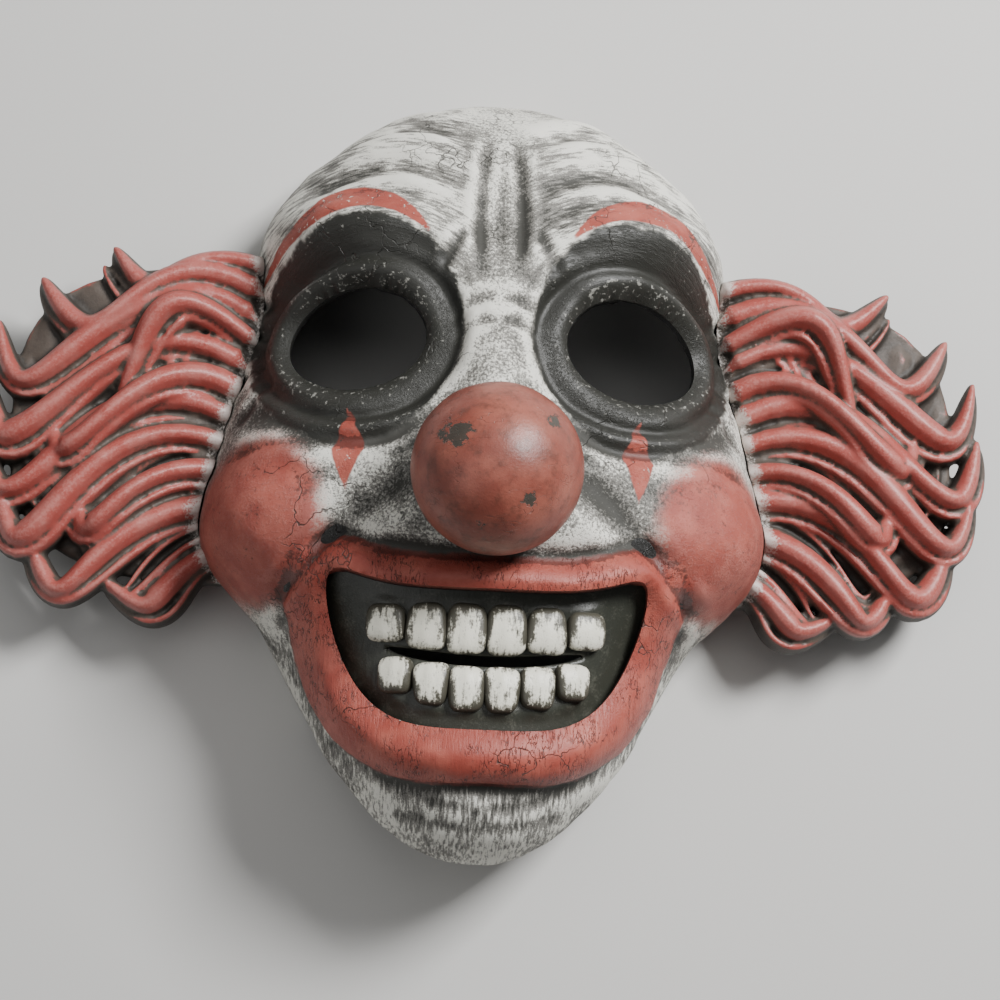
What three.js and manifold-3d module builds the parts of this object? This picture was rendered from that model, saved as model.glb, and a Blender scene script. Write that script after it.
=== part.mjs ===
// Carnival clown mask: a moulded face shell, a tooth plate behind its lips, a ball nose and
// two tufts of curled hair. Millimetres. The mask lies on its rim: +Z points out of the face,
// +Y to the forehead and +X to the viewer's right. Z is 0 at the rim.
import * as THREE from "three";
import { mergeVertices } from "three/addons/utils/BufferGeometryUtils.js";
import Module from "manifold-3d";

const wasm = await Module();
wasm.setup();

// Shell
const FACE_HEIGHT = 230; // chin to the top of the forehead
const FACE_WIDTH = 162; // side to side at the cheeks
const FACE_DEPTH = 72; // rim to the crown of the middle section
const WALL = 2.6;
const RELIEF = 12; // height of the strongest moulded form
const SEAT_GAP = 0.4; // between the shell and each piece seated on it

// Levels, each measured from the feature below it
const MOUTH_ABOVE_CHIN = 52; // middle of the mouth's opening
const NOSE_ABOVE_MOUTH = 50;
const EYES_ABOVE_NOSE = 42;
const TUFTS_ABOVE_NOSE = 24; // middle of the hair tufts

// Eye openings
const EYE_SPACING = 80;
const EYE_WIDTH = 40;
const EYE_HEIGHT = 31;
const EYE_TURN = 7; // degrees, outer corner down
const EYE_POINTS = 26; // around each outline
const LID_WIDTH = 8;
const LID_RISE = 3.6;

// Nose
const NOSE_BALL = 47; // diameter
const NOSE_STUB = 30; // width of the moulded stub that the ball is seated on
const NOSE_SINK = 19; // depth of the stub inside the ball

// Mouth
const MOUTH_WIDTH = 90; // corner to corner
const MOUTH_HEIGHT = 38; // at the middle
const MOUTH_STEPS = 17; // along each edge of the outline
const MOUTH_SQUARENESS = 4; // 2 rounds the ends as an ellipse does, and more is squarer
const SMILE_LIFT = 19; // corners above the middle of the opening
const SMILE_POWER = 4; // more keeps the lift nearer to the corners
const UPPER_LIP = 8.5;
const LOWER_LIP = 15;
const LIP_RISE = 6;
const LIP_CORNER_LOSS = 0.6; // share of the lips' rise that is missing at the corners
const LIP_CORNER_POWER = 6; // more keeps the loss nearer to the corners

// Tooth plate
const PLATE_WALL = 2.2;
const PLATE_LAP = 5; // hidden margin behind the lips
const TEETH_PER_ROW = 6;
const TOOTH_PITCH = 11;
const UPPER_TOOTH = 14.5; // height at the middle of the row
const LOWER_TOOTH = 13;
const LOWER_ROW = 0.88; // width of the lower row as a share of the upper's
const TOOTH_RISE = 4; // above the gum
const TOOTH_SINK = 1.2; // below the gum
const TOOTH_SQUARENESS = 0.5; // 1 is an ellipsoid, and less is squarer
const TOOTH_FILL = 0.98; // width of a tooth as a share of the pitch
const SIDE_TOOTH_LOSS = 0.35; // share of its height that the last tooth lacks
const BITE_LIFT = 4; // rise of the line between the rows, from its middle to the last tooth
const SLIT_WIDTH = 56;
const SLIT_HEIGHT = 3;
const SLIT_STEPS = 12;

// Hair tufts
const TUFT_REACH = 70; // from the side of the face to the outermost curl
const TUFT_HEIGHT = 106;
const TUFT_BASE = 12; // underside above the rim
const TUFT_PAD = 10; // thickness of the pad below the locks
const PAD_REACH = 58; // from the side of the face
const PAD_HEIGHT = 96;
const PAD_STEPS = 12; // along each edge of the pad's outline
const ROOT_DEPTH = 8; // how far a tuft starts inside the side of the face before it is cut
const LOCK_GIRTH = 4.8; // half the width of a full lock
const LOCK_HEIGHT = 15; // of a full lock, from the underside of the tuft
const LOCK_TIP = 0.55; // height of a lock's tip as a share of its full height
const LOCK_LIFT = 8; // swell of a lock's middle above its ends
const LOCK_SWING = 0.75; // how far a lock keeps its first and last heading, as a share of its span
const ROUND_TIP = 4; // more keeps a lock's full width nearer to its tip

// Facets
const SLIVER = 0.03; // facets narrower than this are merged away
const OUTER_COLUMNS = 34;
const INNER_COLUMNS = 14;
const ROWS = 40;
const LOCK_STEPS = 10;
const TOOTH_FACETS = [8, 6]; // around and along
const NOSE_FACETS = [18, 12];
const SEEK_STEPS = 8; // turns of the search for the point above a place
const SEEK_LIMIT = 0.999; // share of the way to the rim that the search goes

// Plain form, a row for each level from the chin (-1) to the forehead (1), as shares of the
// half-width and the depth that an ellipse would have there.
const SECTIONS = [
  { level: -1.0, width: 0.86, depth: 1.1 },
  { level: -0.8, width: 0.84, depth: 1.14 },
  { level: -0.55, width: 0.88, depth: 1.1 },
  { level: -0.25, width: 0.98, depth: 1.03 },
  { level: 0.05, width: 1.0, depth: 0.99 },
  { level: 0.35, width: 1.01, depth: 0.95 },
  { level: 0.7, width: 1.14, depth: 0.9 },
  { level: 1.0, width: 1.1, depth: 0.74 },
];
const DEPTH_ROUNDING = 0.5; // how fast the crown falls to the rim at the chin and forehead
const CROSS_SQUARENESS = 2.35; // 2 is an ellipse
const END_CROWDING = 0.55; // share of the rows' spacing that is in equal steps of level
const RIM_FADE = 0.22; // share of the depth over which the relief grows from the rim

// Levels from mid-height
const HALF_WIDTH = FACE_WIDTH / 2;
const HALF_HEIGHT = FACE_HEIGHT / 2;
const MOUTH_LEVEL = MOUTH_ABOVE_CHIN - HALF_HEIGHT;
const NOSE_LEVEL = MOUTH_LEVEL + NOSE_ABOVE_MOUTH;
const EYE_LEVEL = NOSE_LEVEL + EYES_ABOVE_NOSE;
const TUFT_LEVEL = NOSE_LEVEL + TUFTS_ABOVE_NOSE;

// Places and half sizes that the moulded forms are measured by.
const REGIONS = {
  face: { x: 0, y: 0, w: HALF_WIDTH, h: HALF_HEIGHT },
  eye: { x: EYE_SPACING / 2, y: EYE_LEVEL, w: EYE_WIDTH / 2, h: EYE_HEIGHT / 2 },
  nose: { x: 0, y: NOSE_LEVEL, w: NOSE_STUB / 2, h: NOSE_STUB / 2 },
  mouth: { x: 0, y: MOUTH_LEVEL, w: MOUTH_WIDTH / 2, h: MOUTH_HEIGHT / 2 },
};

// Broad forms, each a smooth mound or hollow. x, y, w and h are shares of the region's half
// sizes, turn is in degrees, and rise is a share of RELIEF. A form off the middle has a twin.
const FORMS = [
  { on: "eye", x: -0.05, y: 0.0, w: 1.25, h: 1.3, turn: -8, rise: -1.0 }, // socket
  { on: "eye", x: -0.15, y: 1.95, w: 1.5, h: 0.75, turn: 14, rise: 0.75 }, // brow
  { on: "eye", x: 0.05, y: -1.75, w: 1.2, h: 0.6, turn: 6, rise: 0.25 }, // eye bag
  { on: "nose", x: 0, y: 2.2, w: 0.75, h: 2.0, turn: 0, rise: 0.75 }, // bridge
  { on: "nose", x: 0, y: 0.0, w: 1.15, h: 1.15, turn: 0, rise: 1.0 }, // stub
  { on: "nose", x: 1.3, y: -0.6, w: 0.75, h: 0.7, turn: 0, rise: 0.45 }, // nostril wing
  { on: "face", x: 0.78, y: -0.2, w: 0.26, h: 0.18, turn: -12, rise: 1.05 }, // cheek
  { on: "mouth", x: 0.0, y: 1.6, w: 0.9, h: 0.8, turn: 0, rise: 0.15 }, // upper lip ground
  { on: "mouth", x: 0.0, y: -0.3, w: 1.3, h: 2.1, turn: 0, rise: 0.5 }, // muzzle
  { on: "mouth", x: 0.0, y: 0.1, w: 0.95, h: 1.1, turn: 0, rise: -0.6 }, // mouth hollow
  { on: "face", x: 0.0, y: -0.93, w: 0.3, h: 0.12, turn: 0, rise: 0.5 }, // chin
  { on: "face", x: 0.92, y: 0.4, w: 0.2, h: 0.22, turn: 0, rise: -0.3 }, // temple
  { on: "face", x: 0.34, y: 0.76, w: 0.34, h: 0.15, turn: 10, rise: 0.35 }, // forehead lobe
  { on: "face", x: 0.0, y: 0.52, w: 0.09, h: 0.2, turn: 0, rise: -0.3 }, // frown hollow
  { on: "face", x: 0.72, y: -0.52, w: 0.2, h: 0.14, turn: 30, rise: -0.25 }, // jaw hollow
];

// Folds and furrows of the outside, each along a bowed line. Places are shares of the region's
// half sizes, width is in shares of LID_WIDTH, and rise is a share of LID_RISE.
const FOLDS = [
  { on: "eye", from: [-1.4, 1.2], over: [0.0, 2.7], to: [1.6, 0.6], width: 0.5, rise: -0.5 },
  { on: "eye", from: [-1.2, -1.5], over: [0.1, -2.6], to: [1.7, -1.2], width: 0.5, rise: -0.5 },
  { on: "face", from: [0.24, -0.12], over: [0.46, -0.14], to: [0.62, -0.35], width: 0.7, rise: -0.6 },
  { on: "face", from: [0.1, 0.64], over: [0.42, 0.82], to: [0.8, 0.6], width: 0.6, rise: -0.5 },
  { on: "face", from: [0.1, 0.8], over: [0.38, 0.94], to: [0.72, 0.76], width: 0.6, rise: -0.45 },
];
const FOLD_STEPS = 8; // straight stretches that stand for each bowed line
const FOLD_ENDS = 5; // more makes a fold reach its full depth nearer to its ends

// Section of a lid or lip, from the opening outwards: shares of its width and of its rise.
// Below the face's surface the share is one of WALL.
const BEAD = [[-0.12, -0.3], [-0.12, 0.72], [0.2, 1.0], [0.6, 0.85], [0.9, 0.4], [1.0, -0.3]];

// Section of a lock: shares of its half-width and of its height above the tuft's underside.
const LOCK = [[-1.0, 0.0], [-1.0, 0.55], [-0.5, 1.0], [0.5, 1.0], [1.0, 0.55], [1.0, 0.0]];

// Locks of one tuft, from the top down. root is a share of half TUFT_HEIGHT, tip holds shares
// of TUFT_REACH and half TUFT_HEIGHT, leave and arrive are headings in degrees, and girth and
// lift are shares.
const LOCKS_RIGHT = [
  { root: 0.84, tip: [0.6, 0.92], leave: 24, arrive: 50, girth: 0.95, lift: 0.3 },
  { root: 0.66, tip: [0.86, 0.66], leave: 32, arrive: 66, girth: 1.0, lift: 0.7 },
  { root: 0.5, tip: [0.46, 0.02], leave: 34, arrive: -72, girth: 0.95, lift: 1.3 },
  { root: 0.37, tip: [0.98, 0.42], leave: 40, arrive: 82, girth: 1.05, lift: 0.6 },
  { root: 0.21, tip: [0.72, 0.12], leave: 40, arrive: 84, girth: 1.0, lift: 1.35 },
  { root: 0.06, tip: [1.0, 0.08], leave: 36, arrive: 84, girth: 1.05, lift: 0.7 },
  { root: -0.1, tip: [0.98, -0.22], leave: 32, arrive: 80, girth: 1.05, lift: 0.8 },
  { root: -0.26, tip: [0.6, -0.3], leave: 30, arrive: 88, girth: 0.95, lift: 1.35 },
  { root: -0.4, tip: [0.88, -0.54], leave: 20, arrive: 72, girth: 1.05, lift: 0.7 },
  { root: -0.56, tip: [0.64, -0.76], leave: 6, arrive: 66, girth: 1.0, lift: 0.8 },
  { root: -0.74, tip: [0.42, -0.96], leave: -14, arrive: 34, girth: 0.95, lift: 0.3 },
];
const LOCKS_LEFT = [
  { root: 0.85, tip: [0.5, 0.96], leave: 22, arrive: 58, girth: 0.95, lift: 0.3 },
  { root: 0.68, tip: [0.8, 0.76], leave: 34, arrive: 60, girth: 1.0, lift: 0.7 },
  { root: 0.52, tip: [0.97, 0.5], leave: 40, arrive: 80, girth: 1.05, lift: 0.6 },
  { root: 0.4, tip: [0.44, 0.0], leave: 36, arrive: -68, girth: 0.95, lift: 1.35 },
  { root: 0.24, tip: [1.0, 0.18], leave: 38, arrive: 84, girth: 1.05, lift: 0.8 },
  { root: 0.09, tip: [0.7, 0.0], leave: 38, arrive: 90, girth: 1.0, lift: 1.35 },
  { root: -0.07, tip: [1.0, -0.12], leave: 34, arrive: 82, girth: 1.05, lift: 0.6 },
  { root: -0.22, tip: [0.92, -0.42], leave: 28, arrive: 80, girth: 1.05, lift: 0.9 },
  { root: -0.38, tip: [0.58, -0.44], leave: 24, arrive: 84, girth: 0.95, lift: 1.3 },
  { root: -0.54, tip: [0.78, -0.72], leave: 8, arrive: 70, girth: 1.0, lift: 0.6 },
  { root: -0.72, tip: [0.46, -0.95], leave: -12, arrive: 40, girth: 0.95, lift: 0.3 },
];

const TALL = FACE_DEPTH * 3; // a cutter this tall passes right through the shell

// Solids

/** A manifold solid of a closed three.js geometry. */
function solidOf(geometry) {
  const bare = geometry.clone();
  bare.deleteAttribute("normal");
  bare.deleteAttribute("uv");
  const merged = mergeVertices(bare, 1e-4);
  const corners = merged.index.array;
  const kept = [];
  for (let i = 0; i < corners.length; i += 3) {
    const [a, b, c] = [corners[i], corners[i + 1], corners[i + 2]];
    if (a !== b && b !== c && c !== a) kept.push(a, b, c);
  }
  return new wasm.Manifold(
    new wasm.Mesh({
      numProp: 3,
      vertProperties: new Float32Array(merged.attributes.position.array),
      triVerts: new Uint32Array(kept),
    }),
  );
}

/** The three.js geometry of a solid, without the slivers and closed pockets that its cuts and
 * crossings left. */
function geometryOf(solid) {
  const bodies = solid.simplify(SLIVER).decompose();
  const mesh = bodies.reduce((a, b) => (a.volume() > b.volume() ? a : b)).getMesh();
  const geometry = new THREE.BufferGeometry();
  geometry.setAttribute("position", new THREE.BufferAttribute(mesh.vertProperties, 3));
  geometry.setIndex(new THREE.BufferAttribute(mesh.triVerts, 1));
  geometry.computeVertexNormals();
  return geometry;
}

/** A skin over closed rings of points, whose first and last ring have shrunk to no area. */
function loft(rings) {
  const count = rings[0].length;
  const points = rings.flat();
  const corners = [];
  for (let j = 0; j + 1 < rings.length; j += 1) {
    for (let i = 0; i < count; i += 1) {
      const next = (i + 1) % count;
      const [a, b] = [j * count + i, j * count + next];
      const [c, d] = [a + count, b + count];
      const straight = points[a].distanceTo(points[d]) < points[b].distanceTo(points[c]);
      corners.push(...(straight ? [a, b, d, a, d, c] : [a, b, c, b, d, c]));
    }
  }
  const geometry = new THREE.BufferGeometry().setFromPoints(points);
  geometry.setIndex(corners);
  return solidOf(geometry);
}

/** A straight prism along Z through the whole mask, over an outline of points. */
function prism(outline) {
  const geometry = new THREE.ExtrudeGeometry(new THREE.Shape(outline), {
    depth: TALL,
    bevelEnabled: false,
  });
  geometry.translate(0, 0, -TALL / 3);
  return solidOf(geometry);
}

// Face surface

/** A smooth value of one column of SECTIONS at a level. */
function sectionAt(level, column) {
  const last = SECTIONS.length - 2;
  let i = 0;
  while (i < last && level > SECTIONS[i + 1].level) i += 1;
  const slope = (k) => {
    const a = SECTIONS[Math.max(k - 1, 0)];
    const b = SECTIONS[Math.min(k + 1, last + 1)];
    return (b[column] - a[column]) / (b.level - a.level);
  };
  const [a, b] = [SECTIONS[i], SECTIONS[i + 1]];
  const gap = b.level - a.level;
  const s = (level - a.level) / gap;
  const ease = s * s * (3 - 2 * s);
  return (
    a[column] * (1 - ease) + b[column] * ease +
    gap * s * (1 - s) * ((1 - s) * slope(i) - s * slope(i + 1))
  );
}

/** The plain form's point at a rise angle (chin to forehead) and a side angle (left to right). */
function plainPoint(rise, side) {
  const level = Math.sin(rise);
  const share = Math.sin(side);
  const width = HALF_WIDTH * Math.cos(rise) * sectionAt(level, "width");
  const depth = FACE_DEPTH * Math.cos(rise) ** DEPTH_ROUNDING * sectionAt(level, "depth");
  const crown = (1 - Math.abs(share) ** CROSS_SQUARENESS) ** (1 / CROSS_SQUARENESS);
  return new THREE.Vector3(width * share, HALF_HEIGHT * level, depth * crown);
}

/** The way that relief and wall thickness are measured, which lies in the rim's plane at the rim. */
function outward(rise, side) {
  return new THREE.Vector3(
    (Math.sin(side) * Math.cos(rise)) / HALF_WIDTH,
    Math.sin(rise) / HALF_HEIGHT,
    (Math.cos(side) * Math.cos(rise)) / FACE_DEPTH,
  ).normalize();
}

/** Height of the mouth opening's upper (1) or lower (-1) edge across the face. */
function mouthEdge(x, end) {
  const share = Math.min(Math.abs((2 * x) / MOUTH_WIDTH), 1);
  const half = (MOUTH_HEIGHT / 2) * Math.sqrt(1 - share ** MOUTH_SQUARENESS);
  return MOUTH_LEVEL + SMILE_LIFT * share ** SMILE_POWER + end * half;
}

/** Height of one broad form at a place. */
function formRise({ on, x, y, w, h, turn, rise }, px, py) {
  const region = REGIONS[on];
  const angle = THREE.MathUtils.degToRad(turn);
  const [cx, cy] = [region.x + x * region.w, region.y + y * region.h];
  const one = (side) => {
    const [dx, dy] = [side * px - cx, py - cy];
    const along = (dx * Math.cos(angle) + dy * Math.sin(angle)) / (w * region.w);
    const up = (dy * Math.cos(angle) - dx * Math.sin(angle)) / (h * region.h);
    return Math.exp(-(along ** 2) - up ** 2);
  };
  return rise * RELIEF * (cx === 0 ? one(1) : one(1) + one(-1));
}

/** The straight stretches of one fold's bowed line. */
function foldLine({ on, from, over, to }) {
  const { x, y, w, h } = REGIONS[on];
  const place = ([px, py]) => new THREE.Vector2(x + px * w, y + py * h);
  return new THREE.QuadraticBezierCurve(place(from), place(over), place(to)).getPoints(FOLD_STEPS);
}
const FOLD_LINES = FOLDS.map(foldLine);

/** Height of one fold at a place, which fades towards the ends of its line. */
function foldRise({ width, rise }, line, px, py) {
  let [nearest, share] = [Infinity, 0];
  for (let i = 0; i + 1 < line.length; i += 1) {
    const [a, b] = [line[i], line[i + 1]];
    const [ex, ey] = [b.x - a.x, b.y - a.y];
    const s = THREE.MathUtils.clamp(
      ((px - a.x) * ex + (py - a.y) * ey) / (ex * ex + ey * ey), 0, 1);
    const distance = Math.hypot(px - a.x - s * ex, py - a.y - s * ey);
    if (distance < nearest) [nearest, share] = [distance, (i + s) / (line.length - 1)];
  }
  const fade = Math.min(1, FOLD_ENDS * Math.min(share, 1 - share));
  return rise * LID_RISE * fade * Math.exp(-((nearest / (width * LID_WIDTH)) ** 2));
}

/** Height of the broad forms, which the inside of the wall follows too. */
function broadRelief(x, y) {
  return FORMS.reduce((sum, form) => sum + formRise(form, x, y), 0);
}

/** Height of the folds, which only the outside has. */
function foldRelief(x, y) {
  return FOLDS.reduce((sum, fold, i) => sum + foldRise(fold, FOLD_LINES[i], Math.abs(x), y), 0);
}

/** A point of the face at given angles, moved outward by an offset, with its folds or without. */
function facePoint(rise, side, offset, folded) {
  const point = plainPoint(rise, side);
  const away = outward(rise, side);
  const fade = THREE.MathUtils.smoothstep(Math.cos(rise) * Math.cos(side), 0, RIM_FADE);
  point.addScaledVector(away, broadRelief(point.x, point.y) * fade + offset);
  return folded ? point.addScaledVector(away, foldRelief(point.x, point.y) * fade) : point;
}

/** Half the width of the plain form at a height, in the rim's plane. */
function sideAt(y) {
  return HALF_WIDTH * Math.cos(Math.asin(y / HALF_HEIGHT)) * sectionAt(y / HALF_HEIGHT, "width");
}

/** The unfolded face, moved outward by an offset, at a place across it: the point there, and
 * the way outward. */
function faceAt(x, y, offset) {
  let [plainX, plainY] = [x, y];
  let [point, away] = [null, null];
  const angle = (share) => Math.asin(THREE.MathUtils.clamp(share, -SEEK_LIMIT, SEEK_LIMIT));
  for (let i = 0; i < SEEK_STEPS; i += 1) {
    const rise = angle(plainY / HALF_HEIGHT);
    const side = angle(plainX / sideAt(HALF_HEIGHT * Math.sin(rise)));
    point = facePoint(rise, side, offset, false);
    away = outward(rise, side);
    plainX += x - point.x;
    plainY += y - point.y;
  }
  return { point, away };
}

/** A closed layer of the face between two offset surfaces, open towards the wearer. */
function layer(outer, inner, columns, folded) {
  const sides = (count) =>
    Array.from({ length: count + 1 }, (_, i) => ((2 * i) / count - 1) * (Math.PI / 2));
  const rings = Array.from({ length: ROWS + 1 }, (_, j) => {
    const share = (2 * j) / ROWS - 1;
    const rise = END_CROWDING * Math.asin(share) + (1 - END_CROWDING) * share * (Math.PI / 2);
    return [
      ...sides(columns).map((side) => facePoint(rise, side, outer, folded)),
      ...sides(INNER_COLUMNS).map((side) => facePoint(rise, -side, inner, false)),
    ];
  });
  return loft(rings);
}

/** A bead moulded along an opening's outline, with its width and rise at each place of it. */
function bead(outline, widthOf, riseOf) {
  const count = outline.length;
  const rings = outline.map((place, i) => {
    const [before, after] = [outline[(i + count - 1) % count], outline[(i + 1) % count]];
    const away2d = new THREE.Vector2(after.y - before.y, before.x - after.x).normalize();
    const [width, rise] = [widthOf(away2d), riseOf(place)];
    return BEAD.map(([across, up]) => {
      const spot = place.clone().addScaledVector(away2d, across * width);
      const { point, away } = faceAt(spot.x, spot.y, 0);
      return point.addScaledVector(away, up * (up > 0 ? rise : WALL));
    });
  });
  return loft([...rings, rings[0]]);
}

// Outlines

/** The outline of an eye opening, on the right for 1 and on the left for -1. */
function eyeOutline(side) {
  const turn = THREE.MathUtils.degToRad(-EYE_TURN);
  const ellipse = new THREE.EllipseCurve(0, 0, EYE_WIDTH / 2, EYE_HEIGHT / 2);
  const placed = ellipse.getPoints(EYE_POINTS).slice(0, -1).map((p) => {
    p.rotateAround(new THREE.Vector2(0, 0), turn);
    return new THREE.Vector2(side * (p.x + EYE_SPACING / 2), p.y + EYE_LEVEL);
  });
  return side > 0 ? placed : placed.reverse();
}

/** The outline of the mouth opening, grown by a margin. */
function mouthOutline(margin) {
  const reach = MOUTH_WIDTH / 2;
  const edge = (end) =>
    Array.from({ length: MOUTH_STEPS + 1 }, (_, i) => {
      const x = Math.sin(((2 * i) / MOUTH_STEPS - 1) * (Math.PI / 2)) * reach;
      return new THREE.Vector2(x * (1 + margin / reach), mouthEdge(x, end) + end * margin);
    });
  return [...edge(-1), ...edge(1).reverse()].filter(
    (p, i, all) => p.distanceTo(all[(i + 1) % all.length]) > 1e-3);
}

/** Height of the line between the rows of teeth. */
function biteLine(x) {
  return MOUTH_LEVEL + BITE_LIFT * ((2 * x) / (TEETH_PER_ROW * TOOTH_PITCH)) ** 2;
}

/** The outline of the slit between the rows of teeth. */
function slitOutline() {
  const edge = (end) =>
    Array.from({ length: SLIT_STEPS + 1 }, (_, i) => {
      const share = (2 * i) / SLIT_STEPS - 1;
      const x = (share * SLIT_WIDTH) / 2;
      const half = (SLIT_HEIGHT / 2) * Math.sqrt(Math.max(1 - share ** 4, 0));
      return new THREE.Vector2(x, biteLine(x) + end * half);
    });
  return [...edge(-1), ...edge(1).slice(1, -1).reverse()];
}

// Pieces

/** The moulded face with its lids and lips, and its eye and mouth openings. */
function faceShell() {
  const lid = (side) => bead(eyeOutline(side), () => LID_WIDTH, () => LID_RISE);
  const lipWidth = (away) => THREE.MathUtils.lerp(LOWER_LIP, UPPER_LIP, (1 + away.y) / 2);
  const lipRise = ({ x }) =>
    LIP_RISE * (1 - LIP_CORNER_LOSS * Math.abs((2 * x) / MOUTH_WIDTH) ** LIP_CORNER_POWER);
  return layer(0, -WALL, OUTER_COLUMNS, true)
    .add(lid(1))
    .add(lid(-1))
    .add(bead(mouthOutline(0), lipWidth, lipRise))
    .subtract(prism(eyeOutline(1)))
    .subtract(prism(eyeOutline(-1)))
    .subtract(prism(mouthOutline(0)));
}

/** The face's volume grown by the seat gap, which is cut away from what is seated on it. */
function seatCutter() {
  return layer(SEAT_GAP, -FACE_DEPTH / 3, OUTER_COLUMNS, true);
}

/** One tooth of the upper (1) or lower (-1) row: a squared ellipsoid, its back sunk in the gum. */
function tooth(x, pitch, end) {
  const geometry = new THREE.SphereGeometry(1, ...TOOTH_FACETS);
  geometry.rotateX(Math.PI / 2);
  const points = geometry.attributes.position;
  const square = (v) => Math.sign(v) * Math.abs(v) ** TOOTH_SQUARENESS;
  for (let i = 0; i < points.count; i += 1) {
    const z = square(points.getZ(i));
    const rise = z > 0 ? TOOTH_RISE : TOOTH_SINK;
    points.setXYZ(i, square(points.getX(i)), square(points.getY(i)), z * rise);
  }
  const share = Math.abs((2 * x) / (TEETH_PER_ROW * TOOTH_PITCH));
  const height = (end > 0 ? UPPER_TOOTH : LOWER_TOOTH) * (1 - SIDE_TOOTH_LOSS * share ** 2);
  const y = biteLine(x) + end * (SLIT_HEIGHT / 2 + height / 2);
  const gum = (across) => faceAt(across, y, -WALL - SEAT_GAP).point.z;
  const lean = Math.atan2(gum(x + 1) - gum(x - 1), 2);
  geometry.scale((pitch * TOOTH_FILL) / 2, height / 2, 1);
  geometry.rotateY(-lean);
  geometry.translate(x, y, gum(x));
  return solidOf(geometry);
}

/** The gum plate behind the lips, with two rows of teeth and the slit between them. */
function toothPlate() {
  const front = -WALL - SEAT_GAP;
  let plate = layer(front, front - PLATE_WALL, INNER_COLUMNS, false)
    .intersect(prism(mouthOutline(PLATE_LAP)))
    .subtract(prism(slitOutline()));
  for (let i = 0; i < TEETH_PER_ROW; i += 1) {
    const x = (i - (TEETH_PER_ROW - 1) / 2) * TOOTH_PITCH;
    plate = plate.add(tooth(x, TOOTH_PITCH, 1)).add(tooth(x * LOWER_ROW, TOOTH_PITCH * LOWER_ROW, -1));
  }
  return plate;
}

/** The ball nose, hollowed where the moulded stub stands in it. */
function noseBall(centre) {
  const geometry = new THREE.SphereGeometry(NOSE_BALL / 2, ...NOSE_FACETS);
  geometry.rotateX(Math.PI / 2);
  geometry.translate(centre.x, centre.y, centre.z);
  return solidOf(geometry).subtract(seatCutter());
}

/** One tapered lock along its curve; out is 1 on the right and -1 on the left. */
function lock({ root, tip, leave, arrive, girth, lift }, out) {
  const rootY = TUFT_LEVEL + (root * TUFT_HEIGHT) / 2;
  const start = new THREE.Vector2(sideAt(rootY) - ROOT_DEPTH, rootY);
  const end = new THREE.Vector2(
    HALF_WIDTH + tip[0] * TUFT_REACH, TUFT_LEVEL + (tip[1] * TUFT_HEIGHT) / 2);
  const handle = start.distanceTo(end) * LOCK_SWING;
  const towards = (degrees) => {
    const angle = THREE.MathUtils.degToRad(degrees);
    return new THREE.Vector2(Math.cos(angle), Math.sin(angle)).multiplyScalar(handle);
  };
  const curve = new THREE.CubicBezierCurve(
    start, start.clone().add(towards(leave)), end.clone().sub(towards(arrive)), end);
  const rings = [];
  for (let j = 0; j <= LOCK_STEPS; j += 1) {
    const s = Math.sin(((j / LOCK_STEPS) * Math.PI) / 2);
    const middle = curve.getPoint(s);
    const along = curve.getTangent(s);
    const taper = j === 0 ? 0 : Math.sqrt(1 - s ** ROUND_TIP);
    const height = LOCK_HEIGHT * THREE.MathUtils.lerp(LOCK_TIP, 1, taper) + LOCK_LIFT * lift * Math.sin(Math.PI * s);
    rings.push(
      LOCK.map(([across, up]) => {
        const sideways = across * LOCK_GIRTH * girth * taper;
        return new THREE.Vector3(
          out * (middle.x - along.y * sideways),
          middle.y + along.x * sideways,
          TUFT_BASE + up * height,
        );
      }),
    );
  }
  return loft(out < 0 ? rings : rings.map((ring) => ring.reverse()));
}

/** The pad that a tuft's locks are fused to, from inside the side of the face outwards. */
function tuftPad(out) {
  const heights = Array.from({ length: PAD_STEPS + 1 }, (_, i) => {
    return TUFT_LEVEL + Math.sin((i / PAD_STEPS - 0.5) * Math.PI) * (PAD_HEIGHT / 2);
  });
  const rounding = (y) => Math.sqrt(Math.max(1 - ((2 * (y - TUFT_LEVEL)) / PAD_HEIGHT) ** 2, 0));
  const inner = heights.map((y) => new THREE.Vector2(out * (sideAt(y) - ROOT_DEPTH), y));
  const outer = heights.map(
    (y) => new THREE.Vector2(out * (sideAt(y) + PAD_REACH * rounding(y)), y));
  const geometry = new THREE.ExtrudeGeometry(new THREE.Shape([...outer, ...inner.reverse()]), {
    depth: TUFT_PAD,
    bevelEnabled: false,
  });
  return solidOf(geometry.translate(0, 0, TUFT_BASE));
}

/** One tuft: its locks fused to a pad, and cut to sit against the side of the face. */
function hairTuft(locks, out) {
  return locks.reduce((sum, row) => sum.add(lock(row, out)), tuftPad(out)).subtract(seatCutter());
}

// Scene graph
const FINISHES = {
  face: new THREE.MeshStandardMaterial({ color: 0xd6d4cb, roughness: 0.72, metalness: 0 }),
  teeth: new THREE.MeshStandardMaterial({ color: 0x8f8d84, roughness: 0.5, metalness: 0 }),
  nose: new THREE.MeshStandardMaterial({ color: 0xa5473b, roughness: 0.42, metalness: 0 }),
  hair: new THREE.MeshStandardMaterial({ color: 0xb0504b, roughness: 0.45, metalness: 0 }),
};

const mask = new THREE.Group();

/** Adds a solid as a named mesh whose own origin is at a place. */
function addPiece(name, solid, material, place) {
  const geometry = geometryOf(solid).translate(-place.x, -place.y, -place.z);
  const mesh = new THREE.Mesh(geometry, material);
  mesh.name = name;
  mesh.position.copy(place);
  mask.add(mesh);
}

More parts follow.
